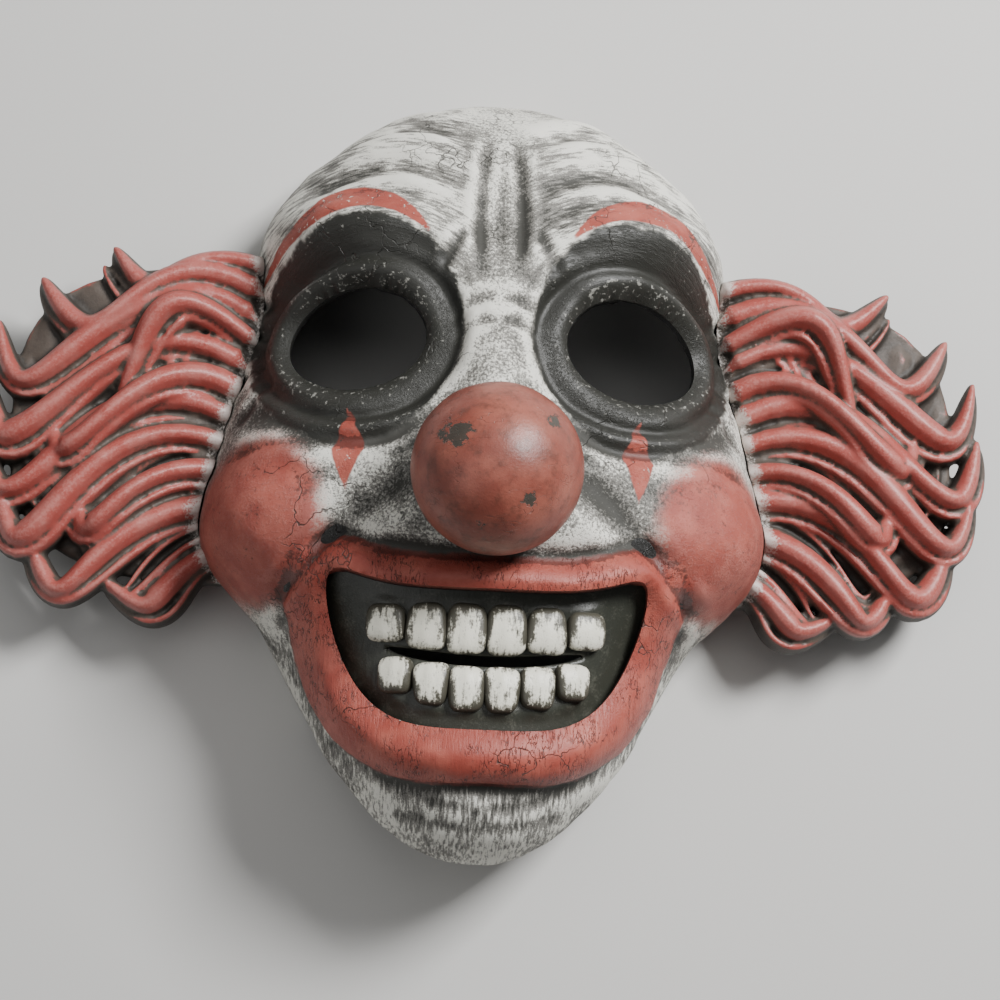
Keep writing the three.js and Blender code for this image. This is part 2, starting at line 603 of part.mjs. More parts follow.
const mouthPlace = new THREE.Vector3(0, MOUTH_LEVEL, 0);
const stubTop = faceAt(0, NOSE_LEVEL, 0).point.z;
const nosePlace = new THREE.Vector3(0, NOSE_LEVEL, stubTop + NOSE_BALL / 2 - NOSE_SINK);
addPiece("face_shell", faceShell(), FINISHES.face, new THREE.Vector3(0, 0, 0));
addPiece("tooth_plate", toothPlate(), FINISHES.teeth, mouthPlace);
addPiece("nose_ball", noseBall(nosePlace), FINISHES.nose, nosePlace);
addPiece("hair_tuft_right", hairTuft(LOCKS_RIGHT, 1), FINISHES.hair,
  new THREE.Vector3(HALF_WIDTH, TUFT_LEVEL, TUFT_BASE));
addPiece("hair_tuft_left", hairTuft(LOCKS_LEFT, -1), FINISHES.hair,
  new THREE.Vector3(-HALF_WIDTH, TUFT_LEVEL, TUFT_BASE));

// The origin is under the middle of the whole mask.
const extent = new THREE.Box3().setFromObject(mask);
const middle = extent.getCenter(new THREE.Vector3());
mask.position.set(-middle.x, -middle.y, -extent.min.z);

export default mask;
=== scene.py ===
"""Clown mask: moulded face, gum and teeth, ball nose and two tufts of curls, with their finishes."""

import logging
import math
from dataclasses import dataclass, field
from enum import Enum
from typing import Optional, Union

import bmesh
import bpy
import numpy as np
from mathutils import Matrix, Vector

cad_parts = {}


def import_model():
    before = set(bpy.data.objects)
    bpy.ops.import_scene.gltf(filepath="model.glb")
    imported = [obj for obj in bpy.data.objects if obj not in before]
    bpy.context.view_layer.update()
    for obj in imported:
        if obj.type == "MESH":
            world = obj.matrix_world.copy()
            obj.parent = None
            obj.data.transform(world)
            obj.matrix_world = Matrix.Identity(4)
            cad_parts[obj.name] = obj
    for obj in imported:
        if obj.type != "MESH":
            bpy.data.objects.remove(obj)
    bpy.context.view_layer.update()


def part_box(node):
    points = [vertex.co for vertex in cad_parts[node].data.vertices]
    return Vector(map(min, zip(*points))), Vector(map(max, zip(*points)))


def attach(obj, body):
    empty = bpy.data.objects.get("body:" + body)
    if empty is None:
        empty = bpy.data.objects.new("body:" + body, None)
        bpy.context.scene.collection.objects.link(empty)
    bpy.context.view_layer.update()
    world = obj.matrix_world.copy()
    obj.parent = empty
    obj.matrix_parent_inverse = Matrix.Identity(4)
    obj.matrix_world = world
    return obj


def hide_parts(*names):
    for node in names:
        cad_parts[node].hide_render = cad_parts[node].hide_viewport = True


LOG = logging.getLogger("clown_mask")
MM = 0.001
Array = np.ndarray


class Slot(Enum):
    """Names for the material slots: face, teeth, nose and hair; nothing here uses them."""

    FACE = "face"
    TEETH = "teeth"
    NOSE = "nose"
    HAIR = "hair"


class Side(Enum):
    """The side of the mask that a tuft is on, as the viewer sees it."""

    RIGHT = 1
    LEFT = -1


# Numbers over arrays


def ease(value: Array, low: float, high: float) -> Array:
    """Smooth step of an array from 0 at low to 1 at high."""
    share = np.clip((value - low) / (high - low), 0.0, 1.0)
    return share * share * (3.0 - 2.0 * share)


def hump(value: Array, middle: float, width: float) -> Array:
    """Bell curve of an array about a middle."""
    return np.exp(-(((value - middle) / width) ** 2))


def blurred(grid: Array, passes: int) -> Array:
    """Averages a grid with its neighbours.

    Args:
        grid: Values by row and column.
        passes: How many times it is averaged.

    Returns:
        The averaged grid, of the same shape.
    """
    for _ in range(passes):
        wide = np.pad(grid, 1, mode="edge")
        sides = wide[:-2, 1:-1] + wide[2:, 1:-1] + wide[1:-1, :-2] + wide[1:-1, 2:]
        grid = 0.2 * (sides + grid)
    return grid


def bowed(start: Array, over: Array, end: Array, steps: int) -> Array:
    """Points of a line that is bowed towards a place."""
    share = np.linspace(0.0, 1.0, steps + 1)[:, None]
    return start * (1 - share) ** 2 + over * 2 * share * (1 - share) + end * share**2


def line_distance(line: Array, places: Array) -> tuple[Array, Array, Array]:
    """Distance of places from an open line.

    Args:
        line: The line's points, in order.
        places: Places across the face.

    Returns:
        The distance, the share of the line that is nearest, and the nearest point.
    """
    best = np.full(len(places), np.inf)
    share = np.zeros(len(places))
    foot = np.zeros((len(places), 2))
    count = len(line) - 1
    for index in range(count):
        start = line[index]
        step = line[index + 1] - start
        along = np.clip((places - start) @ step / (step @ step), 0.0, 1.0)
        spot = start + along[:, None] * step
        gap = np.hypot(places[:, 0] - spot[:, 0], places[:, 1] - spot[:, 1])
        closer = gap < best
        best[closer] = gap[closer]
        share[closer] = (index + along[closer]) / count
        foot[closer] = spot[closer]
    return best, share, foot


@dataclass
class Outline:
    """The closed outline of an opening, in millimetres across the face."""

    points: Array

    def nearest(self, places: Array) -> tuple[Array, Array]:
        """Signed distance of places from the outline, below 0 inside, and the nearest points."""
        loop = np.vstack([self.points, self.points[:1]])
        gap, _, foot = line_distance(loop, places)
        inside = np.zeros(len(places), dtype=bool)
        for start, end in zip(loop[:-1], loop[1:]):
            if start[1] == end[1]:
                continue
            spans = (start[1] > places[:, 1]) != (end[1] > places[:, 1])
            slope = (end[0] - start[0]) / (end[1] - start[1])
            crossing = start[0] + (places[:, 1] - start[1]) * slope
            inside ^= spans & (places[:, 0] < crossing)
        return np.where(inside, -gap, gap), foot


# The face's form


@dataclass(frozen=True)
class Form:
    """A broad mound or hollow, in shares of its region's half sizes and of the relief."""

    on: str
    x: float
    y: float
    w: float
    h: float
    turn: float
    rise: float


@dataclass(frozen=True)
class Crease:
    """A furrow or fold along a bowed line, in millimetres on the right half of the face."""

    start: tuple[float, float]
    over: tuple[float, float]
    end: tuple[float, float]
    width: float
    rise: float
    swell: float = 0.45


@dataclass
class FaceForm:
    """The surface of the face, which every piece is fitted to. Millimetres."""

    shift: tuple[float, float]
    height: float = 230.0
    width: float = 162.0
    depth: float = 72.0
    wall: float = 2.6
    relief: float = 12.0
    seat_gap: float = 0.4
    eye_spacing: float = 80.0
    eyes_above_nose: float = 42.0
    eye_width: float = 40.0
    eye_height: float = 31.0
    eye_turn: float = 7.0
    lid_width: float = 8.0
    lid_rise: float = 3.6
    lid_crest: float = 0.28
    lid_edge: float = 0.55
    lid_fold_at: float = 1.55
    lid_furrow_at: float = 1.15
    nose_above_mouth: float = 50.0
    nose_stub: float = 30.0
    mouth_above_chin: float = 52.0
    mouth_width: float = 90.0
    mouth_height: float = 38.0
    mouth_squareness: float = 4.0
    smile_lift: float = 19.0
    smile_power: float = 4.0
    upper_lip: float = 8.5
    lower_lip: float = 15.0
    lip_rise: float = 6.0
    lip_crest: float = 0.32
    lip_edge: float = 0.5
    lip_furrow: float = 1.3
    lip_split: float = 0.5
    corner_loss: float = 0.6
    corner_power: int = 6
    depth_rounding: float = 0.5
    squareness: float = 2.35
    rim_fade: float = 0.22
    seek_steps: int = 10
    seek_limit: float = 0.999
    flank_steps: int = 18
    flank_start: float = 0.2
    levels: tuple[float, ...] = (-1.0, -0.8, -0.55, -0.25, 0.05, 0.35, 0.7, 1.0)
    widths: tuple[float, ...] = (0.86, 0.84, 0.88, 0.98, 1.0, 1.01, 1.14, 1.1)
    depths: tuple[float, ...] = (1.1, 1.14, 1.1, 1.03, 0.99, 0.95, 0.9, 0.74)
    forms: tuple[Form, ...] = (
        Form("eye", -0.05, 0.0, 1.25, 1.3, -8, -1.0),
        Form("eye", -0.15, 1.95, 1.5, 0.75, 14, 0.75),
        Form("eye", 0.05, -1.75, 1.2, 0.6, 6, 0.25),
        Form("nose", 0, 2.2, 0.75, 2.0, 0, 0.75),
        Form("nose", 0, 0.0, 1.15, 1.15, 0, 1.0),
        Form("nose", 1.3, -0.6, 0.75, 0.7, 0, 0.45),
        Form("face", 0.78, -0.2, 0.26, 0.18, -12, 1.05),
        Form("mouth", 0.0, 1.6, 0.9, 0.8, 0, 0.15),
        Form("mouth", 0.0, -0.3, 1.3, 2.1, 0, 0.5),
        Form("mouth", 0.0, 0.1, 0.95, 1.1, 0, -0.6),
        Form("face", 0.0, -0.93, 0.3, 0.12, 0, 0.5),
        Form("face", 0.92, 0.4, 0.2, 0.22, 0, -0.3),
        Form("face", 0.34, 0.76, 0.34, 0.15, 10, 0.35),
        Form("face", 0.0, 0.52, 0.09, 0.2, 0, -0.3),
        Form("face", 0.72, -0.52, 0.2, 0.14, 30, -0.25),
    )
    creases: tuple[Crease, ...] = (
        # Folds that the solids have too
        Crease((12, 47.6), (40, 70.8), (72, 38.3), 3.4, -1.8, 0.3),
        Crease((16, 5.7), (42, -11.3), (74, 10.4), 3.4, -1.7, 0.3),
        Crease((19.4, -13.8), (37.3, -16.1), (50.2, -40.3), 4.2, -2.1, 0.4),
        Crease((8.1, 73.6), (34, 94.3), (64.8, 69), 3.6, -1.8, 0.5),
        Crease((8.1, 92), (30.8, 108.1), (58.3, 87.4), 3.2, -1.6, 0.5),
        # Forehead
        Crease((14, 66), (38, 86), (70, 58), 2.0, -0.9),
        Crease((9, 83), (33, 101), (63, 78), 1.8, -0.8),
        Crease((20, 101), (36, 109), (52, 96), 1.8, -0.7),
        Crease((3.5, 96), (8, 70), (5, 46), 1.7, -1.1),
        Crease((9, 62), (15, 56), (17, 47), 1.6, -0.9),
        Crease((0, 40), (6, 42), (11, 36), 1.6, -0.9),
        Crease((0, 33), (6, 35), (12, 28), 1.4, -0.7),
        # Beside and below the eyes
        Crease((64, 42), (71, 48), (78, 50), 1.4, -0.9),
        Crease((66, 35), (73, 37), (80, 34), 1.3, -0.9),
        Crease((66, 27), (73, 24), (79, 16), 1.3, -0.9),
        Crease((64, 20), (70, 13), (76, 4), 1.3, -0.8),
        Crease((18, 12), (40, -3), (66, 10), 1.5, -0.8),
        Crease((24, 1), (42, -8), (62, 1), 1.5, -0.7),
        Crease((17, 2), (22, -4), (30, -8), 1.4, -0.7),
        # Cheeks and jaw
        Crease((46, -8), (62, 2), (78, -8), 1.8, -0.9),
        Crease((44, -22), (47, -44), (66, -46), 2.2, -1.6),
        Crease((62, -56), (60, -78), (44, -96), 2.0, -0.9),
        Crease((69, -52), (68, -74), (52, -94), 1.8, -0.7),
        Crease((54, -62), (52, -80), (38, -92), 1.8, -0.8),
        # Chin
        Crease((0, -104), (16, -104), (28, -96), 2.0, -0.9),
        Crease((0, -108.5), (14, -109), (24, -103), 1.6, -0.6),
    )

    @property
    def mouth_level(self) -> float:
        """Middle of the mouth's opening, from mid-height."""
        return self.mouth_above_chin - self.height / 2

    @property
    def nose_level(self) -> float:
        """Middle of the nose, from mid-height."""
        return self.mouth_level + self.nose_above_mouth

    @property
    def eye_level(self) -> float:
        """Middle of the eyes, from mid-height."""
        return self.nose_level + self.eyes_above_nose

    def region(self, name: str) -> tuple[float, float, float, float]:
        """Middle and half sizes of the place that a form is measured by."""
        half = {
            "face": (0.0, 0.0, self.width / 2, self.height / 2),
            "eye": (self.eye_spacing / 2, self.eye_level, self.eye_width / 2, self.eye_height / 2),
            "nose": (0.0, self.nose_level, self.nose_stub / 2, self.nose_stub / 2),
            "mouth": (0.0, self.mouth_level, self.mouth_width / 2, self.mouth_height / 2),
        }
        return half[name]

    def section(self, level: Array, row: tuple[float, ...]) -> Array:
        """Smooth value of a row of section shares at levels from the chin to the forehead."""
        levels = np.array(self.levels)
        values = np.array(row)
        last = len(levels) - 1
        before = np.maximum(np.arange(last + 1) - 1, 0)
        after = np.minimum(np.arange(last + 1) + 1, last)
        slopes = (values[after] - values[before]) / (levels[after] - levels[before])
        i = np.searchsorted(levels[1:-1], level, side="left")
        gap = levels[i + 1] - levels[i]
        s = (level - levels[i]) / gap
        blend = s * s * (3 - 2 * s)
        bend = gap * s * (1 - s) * ((1 - s) * slopes[i] - s * slopes[i + 1])
        return values[i] * (1 - blend) + values[i + 1] * blend + bend

    def plain(self, rise: Array, side: Array) -> Array:
        """Points of the plain form at rise and side angles."""
        level = np.sin(rise)
        share = np.sin(side)
        tall = np.maximum(np.cos(rise), 0.0)
        wide = self.width / 2 * tall * self.section(level, self.widths)
        deep = self.depth * tall**self.depth_rounding * self.section(level, self.depths)
        power = self.squareness
        crown = np.maximum(1 - np.abs(share) ** power, 0.0) ** (1 / power)
        return np.stack([wide * share, self.height / 2 * level, deep * crown], axis=1)

    def outward(self, rise: Array, side: Array) -> Array:
        """The way that relief is measured at rise and side angles."""
        away = np.stack(
            [
                np.sin(side) * np.cos(rise) / (self.width / 2),
                np.sin(rise) / (self.height / 2),
                np.cos(side) * np.cos(rise) / self.depth,
            ],
            axis=1,
        )
        return away / np.linalg.norm(away, axis=1)[:, None]

    def broad(self, x: Array, y: Array) -> Array:
        """Height of the broad forms at places across the face."""
        total = np.zeros(len(x))
        for form in self.forms:
            cx, cy, w, h = self.region(form.on)
            middle = (cx + form.x * w, cy + form.y * h)
            angle = math.radians(form.turn)
            for mirror in (1, -1) if middle[0] else (1,):
                dx = mirror * x - middle[0]
                dy = y - middle[1]
                along = (dx * math.cos(angle) + dy * math.sin(angle)) / (form.w * w)
                up = (dy * math.cos(angle) - dx * math.sin(angle)) / (form.h * h)
                total += form.rise * self.relief * np.exp(-(along**2) - up**2)
        return total

    def fade(self, rise: Array, side: Array) -> Array:
        """Share of the relief that is left towards the rim."""
        return ease(np.cos(rise) * np.cos(side), 0.0, self.rim_fade)

    def coarse(self, rise: Array, side: Array, offset: float) -> Array:
        """Points of the face without its folds, moved outward by an offset."""
        point = self.plain(rise, side)
        height = self.broad(point[:, 0], point[:, 1]) * self.fade(rise, side) + offset
        return point + self.outward(rise, side) * height[:, None]

    def side_at(self, y: Array) -> Array:
        """Half the width of the plain form at heights, in the rim's plane."""
        level = np.clip(y / (self.height / 2), -1.0, 1.0)
        return self.width / 2 * np.cos(np.arcsin(level)) * self.section(level, self.widths)

    def above(self, x: Array, y: Array, offset: float) -> Array:
        """Height of the unfolded face, moved outward by an offset, above places across it."""
        plain_x, plain_y = x.copy(), y.copy()
        point = np.zeros((len(x), 3))
        limit = self.seek_limit
        for _ in range(self.seek_steps):
            rise = np.arcsin(np.clip(plain_y / (self.height / 2), -limit, limit))
            side = np.arcsin(np.clip(plain_x / self.side_at(plain_y), -limit, limit))
            point = self.coarse(rise, side, offset)
            plain_x += x - point[:, 0]
            plain_y += y - point[:, 1]
        return point[:, 2]

    def flank(self, y: Array, z: Array, offset: float) -> Array:
        """How far the side of the face reaches at heights above the rim, moved outward."""
        rise = np.arcsin(np.clip(y / (self.height / 2), -self.seek_limit, self.seek_limit))
        low = np.full(len(y), self.flank_start)
        high = np.full(len(y), math.pi / 2)
        for _ in range(self.flank_steps):
            middle = (low + high) / 2
            above = self.coarse(rise, middle, offset)[:, 2] > z
            low = np.where(above, middle, low)
            high = np.where(above, high, middle)
        return self.coarse(rise, (low + high) / 2, offset)[:, 0]

    def eye(self, steps: int) -> Outline:
        """The right eye's opening."""
        around = np.linspace(0.0, 2 * math.pi, steps, endpoint=False)
        turn = math.radians(-self.eye_turn)
        x = np.cos(around) * self.eye_width / 2
        y = np.sin(around) * self.eye_height / 2
        turned_x = x * math.cos(turn) - y * math.sin(turn) + self.eye_spacing / 2
        turned_y = x * math.sin(turn) + y * math.cos(turn) + self.eye_level
        return Outline(np.stack([turned_x, turned_y], axis=1))

    def mouth_edge(self, x: Array, end: int) -> Array:
        """Height of the mouth's upper (1) or lower (-1) edge across the face."""
        share = np.minimum(np.abs(2 * x / self.mouth_width), 1.0)
        half = self.mouth_height / 2 * np.sqrt(1 - share**self.mouth_squareness)
        return self.mouth_level + self.smile_lift * share**self.smile_power + end * half

    def mouth(self, steps: int) -> Outline:
        """The mouth's opening."""
        share = np.sin(np.linspace(-math.pi / 2, math.pi / 2, steps + 1))
        x = share * self.mouth_width / 2
        lower = np.stack([x, self.mouth_edge(x, -1)], axis=1)
        upper = np.stack([x, self.mouth_edge(x, 1)], axis=1)[::-1]
        return Outline(np.vstack([lower, upper[1:-1]]))

    def lid_relief(self, gap: Array) -> Array:
        """Height of a lid's roll and of the fold round it, by distance from the opening."""
        share = gap / self.lid_width
        crest, edge = self.lid_crest, self.lid_edge
        near = edge + (1 - edge) * np.sin(np.clip(share / crest, -1.0, 1.0) * math.pi / 2)
        far = np.cos(np.clip((share - crest) / (1 - crest), 0.0, 1.0) * math.pi / 2) ** 1.4
        roll = np.where(share < crest, near, far)
        fold = 0.24 * hump(gap, self.lid_width * self.lid_fold_at, 2.2)
        furrow = 0.3 * hump(gap, self.lid_width * self.lid_furrow_at, 1.3)
        return self.lid_rise * (roll + fold - furrow)

    def lip_relief(self, x: Array, y: Array, gap: Array, foot: Array) -> tuple[Array, Array]:
        """Height of the lips, and how far inside their outer edge each place is."""
        lean = np.where(gap > 0.01, (y - foot[:, 1]) / np.maximum(gap, 0.01), 0.0)
        wide = self.lower_lip + (self.upper_lip - self.lower_lip) * (1 + lean) / 2
        share = gap / wide
        crest, edge = self.lip_crest, self.lip_edge
        near = edge + (1 - edge) * np.sin(np.clip(share / crest, -1.0, 1.0) * math.pi / 2)
        far = np.cos(np.clip((share - crest) / (1 - crest), 0.0, 1.0) * math.pi / 2) ** 0.9
        loss = np.minimum(np.abs(2 * foot[:, 0] / self.mouth_width), 1.0) ** self.corner_power
        full = self.lip_rise * (1 - self.corner_loss * loss)
        furrow = -self.lip_furrow * hump(gap, wide + 1.6, 2.0)
        split = -self.lip_split * hump(x, 0.0, 5.0) * hump(share, 0.45, 0.35)
        return np.where(share < crest, near, far) * full + furrow + split, wide - gap

    def to_frame(self, points: Array) -> Array:
        """Points of the face's own place, in the frame and in metres."""
        return (points + np.array([self.shift[0], self.shift[1], 0.0])) * MM


# Materials


Input = Union["Value", float, tuple]


class Value:
    """A socket of a material, so that maths on it is written as maths."""

    def __init__(self, graph: "Graph", socket: bpy.types.NodeSocket) -> None:
        """Keeps the graph and the socket that the value comes from."""
        self.graph = graph
        self.socket = socket

    def _math(self, operation: str, other: Input, swapped: bool = False) -> "Value":
        """Adds a Math node on this value and another."""
        pair = (other, self) if swapped else (self, other)
        return self.graph.node("ShaderNodeMath", {"operation": operation}, {0: pair[0], 1: pair[1]})

    def __add__(self, other: Input) -> "Value":
        """Sum."""
        return self._math("ADD", other)

    __radd__ = __add__

    def __mul__(self, other: Input) -> "Value":
        """Product."""
        return self._math("MULTIPLY", other)

    __rmul__ = __mul__

    def __sub__(self, other: Input) -> "Value":
        """Difference."""
        return self._math("SUBTRACT", other)

    def __rsub__(self, other: Input) -> "Value":
        """Difference the other way round."""
        return self._math("SUBTRACT", other, swapped=True)

    def size(self) -> "Value":
        """The value without its sign."""
        return self.graph.node("ShaderNodeMath", {"operation": "ABSOLUTE"}, {0: self})

    def step(self, low: float, high: float) -> "Value":
        """Smooth step from 0 at low to 1 at high."""
        settings = {"interpolation_type": "SMOOTHSTEP"}
        return self.graph.node("ShaderNodeMapRange", settings, {0: self, 1: low, 2: high})


class Graph:
    """The nodes of one material."""

    def __init__(self, name: str) -> None:
        """Starts a material with an empty node tree."""
        self.material = bpy.data.materials.new(name)
        self.material.use_nodes = True
        self.tree = self.material.node_tree
        self.tree.nodes.clear()

    def node(
        self,
        kind: str,
        settings: Optional[dict] = None,
        inputs: Optional[dict] = None,
        output: Union[int, str] = 0,
    ) -> Value:
        """Adds a node.

        Args:
            kind: The node's type.
            settings: Its own settings, which are set first.
            inputs: Values or links of its sockets, by name or number.
            output: The socket that is wanted.

        Returns:
            The wanted output.
        """
        made = self.tree.nodes.new(kind)
        for key, value in (settings or {}).items():
            setattr(made, key, value)
        for key, value in (inputs or {}).items():
            if isinstance(value, Value):
                self.tree.links.new(value.socket, made.inputs[key])
            else:
                made.inputs[key].default_value = value
        return Value(self, made.outputs[output])

    def place(self) -> Value:
        """Object coordinates."""
        return self.node("ShaderNodeTexCoord", output="Object")

    def painted(self, name: str) -> Value:
        """A number that the mesh carries at its points."""
        return self.node("ShaderNodeAttribute", {"attribute_name": name}, output="Fac")

    def guide(self, name: str) -> Value:
        """A vector that the mesh carries at its points."""
        return self.node("ShaderNodeAttribute", {"attribute_name": name}, output="Vector")

    def stretched(self, vector: Value, factors: tuple[float, float, float]) -> Value:
        """A vector with each axis multiplied."""
        settings = {"operation": "MULTIPLY"}
        return self.node("ShaderNodeVectorMath", settings, {0: vector, 1: factors})

    def warped(self, vector: Value, scale: float, reach: float) -> Value:
        """A vector moved about by cloudy noise, by up to about half of a reach."""
        cloud = self.node("ShaderNodeTexNoise", None, {"Vector": vector, "Scale": scale}, 1)
        moved = self.stretched(cloud, (reach, reach, reach))
        settings = {"operation": "ADD"}
        return self.node("ShaderNodeVectorMath", settings, {0: vector, 1: moved})

    def noise(self, vector: Value, scale: float, detail: float = 3.0, rough: float = 0.55) -> Value:
        """Cloudy noise about 0.5."""
        inputs = {"Vector": vector, "Scale": scale, "Detail": detail, "Roughness": rough}
        return self.node("ShaderNodeTexNoise", None, inputs)

    def cracks(self, vector: Value, scale: float) -> Value:
        """Distance from the lines of a cracked surface."""
        settings = {"feature": "DISTANCE_TO_EDGE"}
        return self.node("ShaderNodeTexVoronoi", settings, {"Vector": vector, "Scale": scale})

    def mix(self, factor: Input, first: Input, second: Input) -> Value:
        """First colour at 0 and second at 1."""
        settings = {"data_type": "RGBA"}
        return self.node("ShaderNodeMix", settings, {0: factor, 6: first, 7: second}, 2)

    def finish(
        self, colour: Input, roughness: Input, height: Value, depth: float, constants: dict
    ) -> bpy.types.Material:
        """Joins the surface to the material's output.

        Args:
            colour: Base colour.
            roughness: Roughness.
            height: Relief of the surface, about 0 to 1.
            depth: What a height of 1 measures, in metres.
            constants: Sockets that are the same all over the surface.

        Returns:
            The material.
        """
        bump_inputs = {"Height": height, "Distance": depth, "Strength": 1.0}
        bump = self.node("ShaderNodeBump", None, bump_inputs)
        inputs = {"Base Color": colour, "Roughness": roughness, "Normal": bump, **constants}
        shader = self.node("ShaderNodeBsdfPrincipled", None, inputs)
        self.node_output(shader)
        return self.material

    def node_output(self, shader: Value) -> None:
        """Adds the material's output."""
        made = self.tree.nodes.new("ShaderNodeOutputMaterial")
        self.tree.links.new(shader.socket, made.inputs["Surface"])


Colour = tuple[float, float, float, float]


@dataclass(frozen=True)
class FacePaint:
    """Off-white dry-brushed over charcoal, with red and black make-up, painted shade in the hollows and
    towards the rim, and a near-black inside as painted shade.
    """

    charcoal: Colour = (0.048, 0.047, 0.041, 1)
    wash: Colour = (0.22, 0.212, 0.192, 1)
    white: Colour = (0.80, 0.785, 0.71, 1)
    black: Colour = (0.026, 0.026, 0.022, 1)
    red: Colour = (0.32, 0.064, 0.046, 1)
    deep_red: Colour = (0.075, 0.021, 0.016, 1)
    # Near-black for the inner skin and the walls of the openings: painted shade for the dark inside of the
    # mask.
    inside: Colour = (0.012, 0.012, 0.011, 1)

    def strokes(self, graph: Graph, place: Value) -> Value:
        """Brush strokes that follow the forehead's arcs and run down the chin."""
        arcs = graph.noise(graph.stretched(graph.guide("arc"), (1.0, 0.12, 1.0)), 1.25, 5.0, 0.68)
        falls = graph.noise(graph.stretched(place, (1.0, 0.13, 0.2)), 1300.0, 4.0, 0.66)
        specks = graph.noise(place, 1150.0, 5.0, 0.7)
        high = graph.painted("high")
        low = graph.painted("low")
        middle = 1.0 - (high + low)
        return arcs * high + falls * low + specks * middle

    def material(self) -> bpy.types.Material:
        """Builds the material."""
        graph = Graph("face_paint")
        place = graph.place()
        hollow = graph.painted("hollow")
        strokes = self.strokes(graph, place)
        grain = graph.noise(place, 2400.0, 3.0, 0.6)
        clouds = graph.noise(place, 42.0, 3.0, 0.6)
        cover = (strokes - 0.5) * 3.4 + (clouds - 0.5) * 2.4 + (grain - 0.5) * 1.3
        # Less white in the hollows: partly the dark base paint that the dry brush leaves in recesses,
        # partly painted shade. The added attribute carries the dry brush's spread and painted shade towards
        # the rim.
        cover = cover - hollow * 0.85 + graph.painted("dry_brush_and_shade")
        thin = cover.step(-0.85, -0.2)
        full = cover.step(-0.22, 0.36)
        colour = graph.mix(thin, self.charcoal, self.wash)
        colour = graph.mix(full, colour, self.white)

        wander = (graph.noise(place, 190.0, 4.0, 0.6) - 0.5) * 5.0
        worn = graph.noise(place, 620.0, 4.0, 0.7)
        patch = (graph.painted("patch") + wander).step(-0.6, 1.2)
        rubbed = (worn + hollow * -0.06).step(0.63, 0.72)
        colour = graph.mix(patch * (1.0 - rubbed * 0.3), colour, self.black)

        red_tone = graph.mix(
            graph.noise(place, 130.0, 4.0).step(0.35, 0.7), self.red, (0.42, 0.108, 0.078, 1)
        )
        # Chips also gather in the hollows, which darkens the red there: wear, and painted shade too.
        chips = (worn * 0.8 + clouds * 0.35 + hollow * 0.3).step(0.62, 0.76)
        red_tone = graph.mix(chips * 0.8, red_tone, self.deep_red)
        marks = (graph.painted("marks") + wander * 0.25).step(-0.35, 0.35)
        colour = graph.mix(marks * (1.0 - (worn.step(0.60, 0.66)) * 0.8), colour, red_tone)

        cheek = graph.painted("cheek") + wander * 0.9 + (strokes - 0.5) * 9.0
        cheek = cheek.step(-3.5, 3.0)
        colour = graph.mix(cheek * 0.95, colour, red_tone)

        lips = (graph.painted("lips") + wander * 0.55).step(-0.5, 0.6)
        crackle = graph.noise(graph.stretched(place, (1.0, 0.28, 0.3)), 620.0, 3.0, 0.6)
        split = (crackle - 0.5).size().step(0.0, 0.03)
        split = 1.0 - (1.0 - split) * graph.noise(place, 90.0).step(0.42, 0.56)
        lip_red = graph.mix(split, self.deep_red, red_tone)
        colour = graph.mix(lips, colour, lip_red)

        warped = graph.warped(place, 160.0, 0.010)
        lines = graph.cracks(warped, 62.0)
        fine = 1.0 - lines.step(0.0, 0.014)
        fine = fine * graph.noise(place, 36.0).step(0.52, 0.6)
        colour = graph.mix(fine * 0.85, colour, self.charcoal)
        # The inside skin is painted near-black: painted shade inside the mask, seen through the eyes and
        # mouth.
        colour = graph.mix(graph.painted("inside"), colour, self.inside)

        shine = 0.68 - patch * 0.26 - lips * 0.22 - cheek * 0.08
        roughness = shine + (grain - 0.5) * 0.12
        height = strokes * 0.5 + grain * 0.25 + full * 0.15 - fine * 0.8 + split * lips * 0.35
        return graph.finish(colour, roughness, height, 0.00032, {"Specular IOR Level": 0.42})


@dataclass(frozen=True)
class ToothPaint:
    """Off-white teeth, mottled towards a dark gum, darker at each tooth's root and edges: partly dark
    paint, partly painted shade where the teeth turn away and meet.
    """

    gum: Colour = (0.034, 0.036, 0.028, 1)
    gum_light: Colour = (0.10, 0.10, 0.08, 1)
    tooth: Colour = (0.80, 0.78, 0.66, 1)
    # Dark colour at each tooth's root and edges: partly dark paint, partly painted shade.
    stain_and_shade: Colour = (0.07, 0.066, 0.05, 1)

    def material(self) -> bpy.types.Material:
        """Builds the material."""
        graph = Graph("tooth_paint")
        place = graph.place()
        streaks = graph.noise(graph.stretched(place, (1.0, 0.25, 0.5)), 900.0, 4.0, 0.65)
        specks = graph.noise(place, 1500.0, 4.0, 0.7)
        clouds = graph.noise(place, 240.0, 3.0)
        root = graph.painted("root")
        edge = graph.painted("flank")
        # Less white at each tooth's root and edges: partly dark paint, partly painted shade where the teeth
        # turn away and meet the gum and each other.
        cover = 0.66 - root * 0.55 - edge * 0.95 + (streaks - 0.5) * 1.7
        cover = cover + (specks - 0.5) * 0.9 + (clouds - 0.5) * 0.8
        tooth = graph.mix(cover.step(-0.1, 0.35), self.stain_and_shade, self.tooth)
        gum = graph.mix((specks * 0.5 + clouds * 0.5).step(0.5, 0.75), self.gum, self.gum_light)
        colour = graph.mix(graph.painted("tooth"), gum, tooth)
        roughness = 0.36 + (specks - 0.5) * 0.2
        height = streaks * 0.4 + specks * 0.3 + clouds * 0.3
        return graph.finish(colour, roughness, height, 0.0003, {"Specular IOR Level": 0.5})


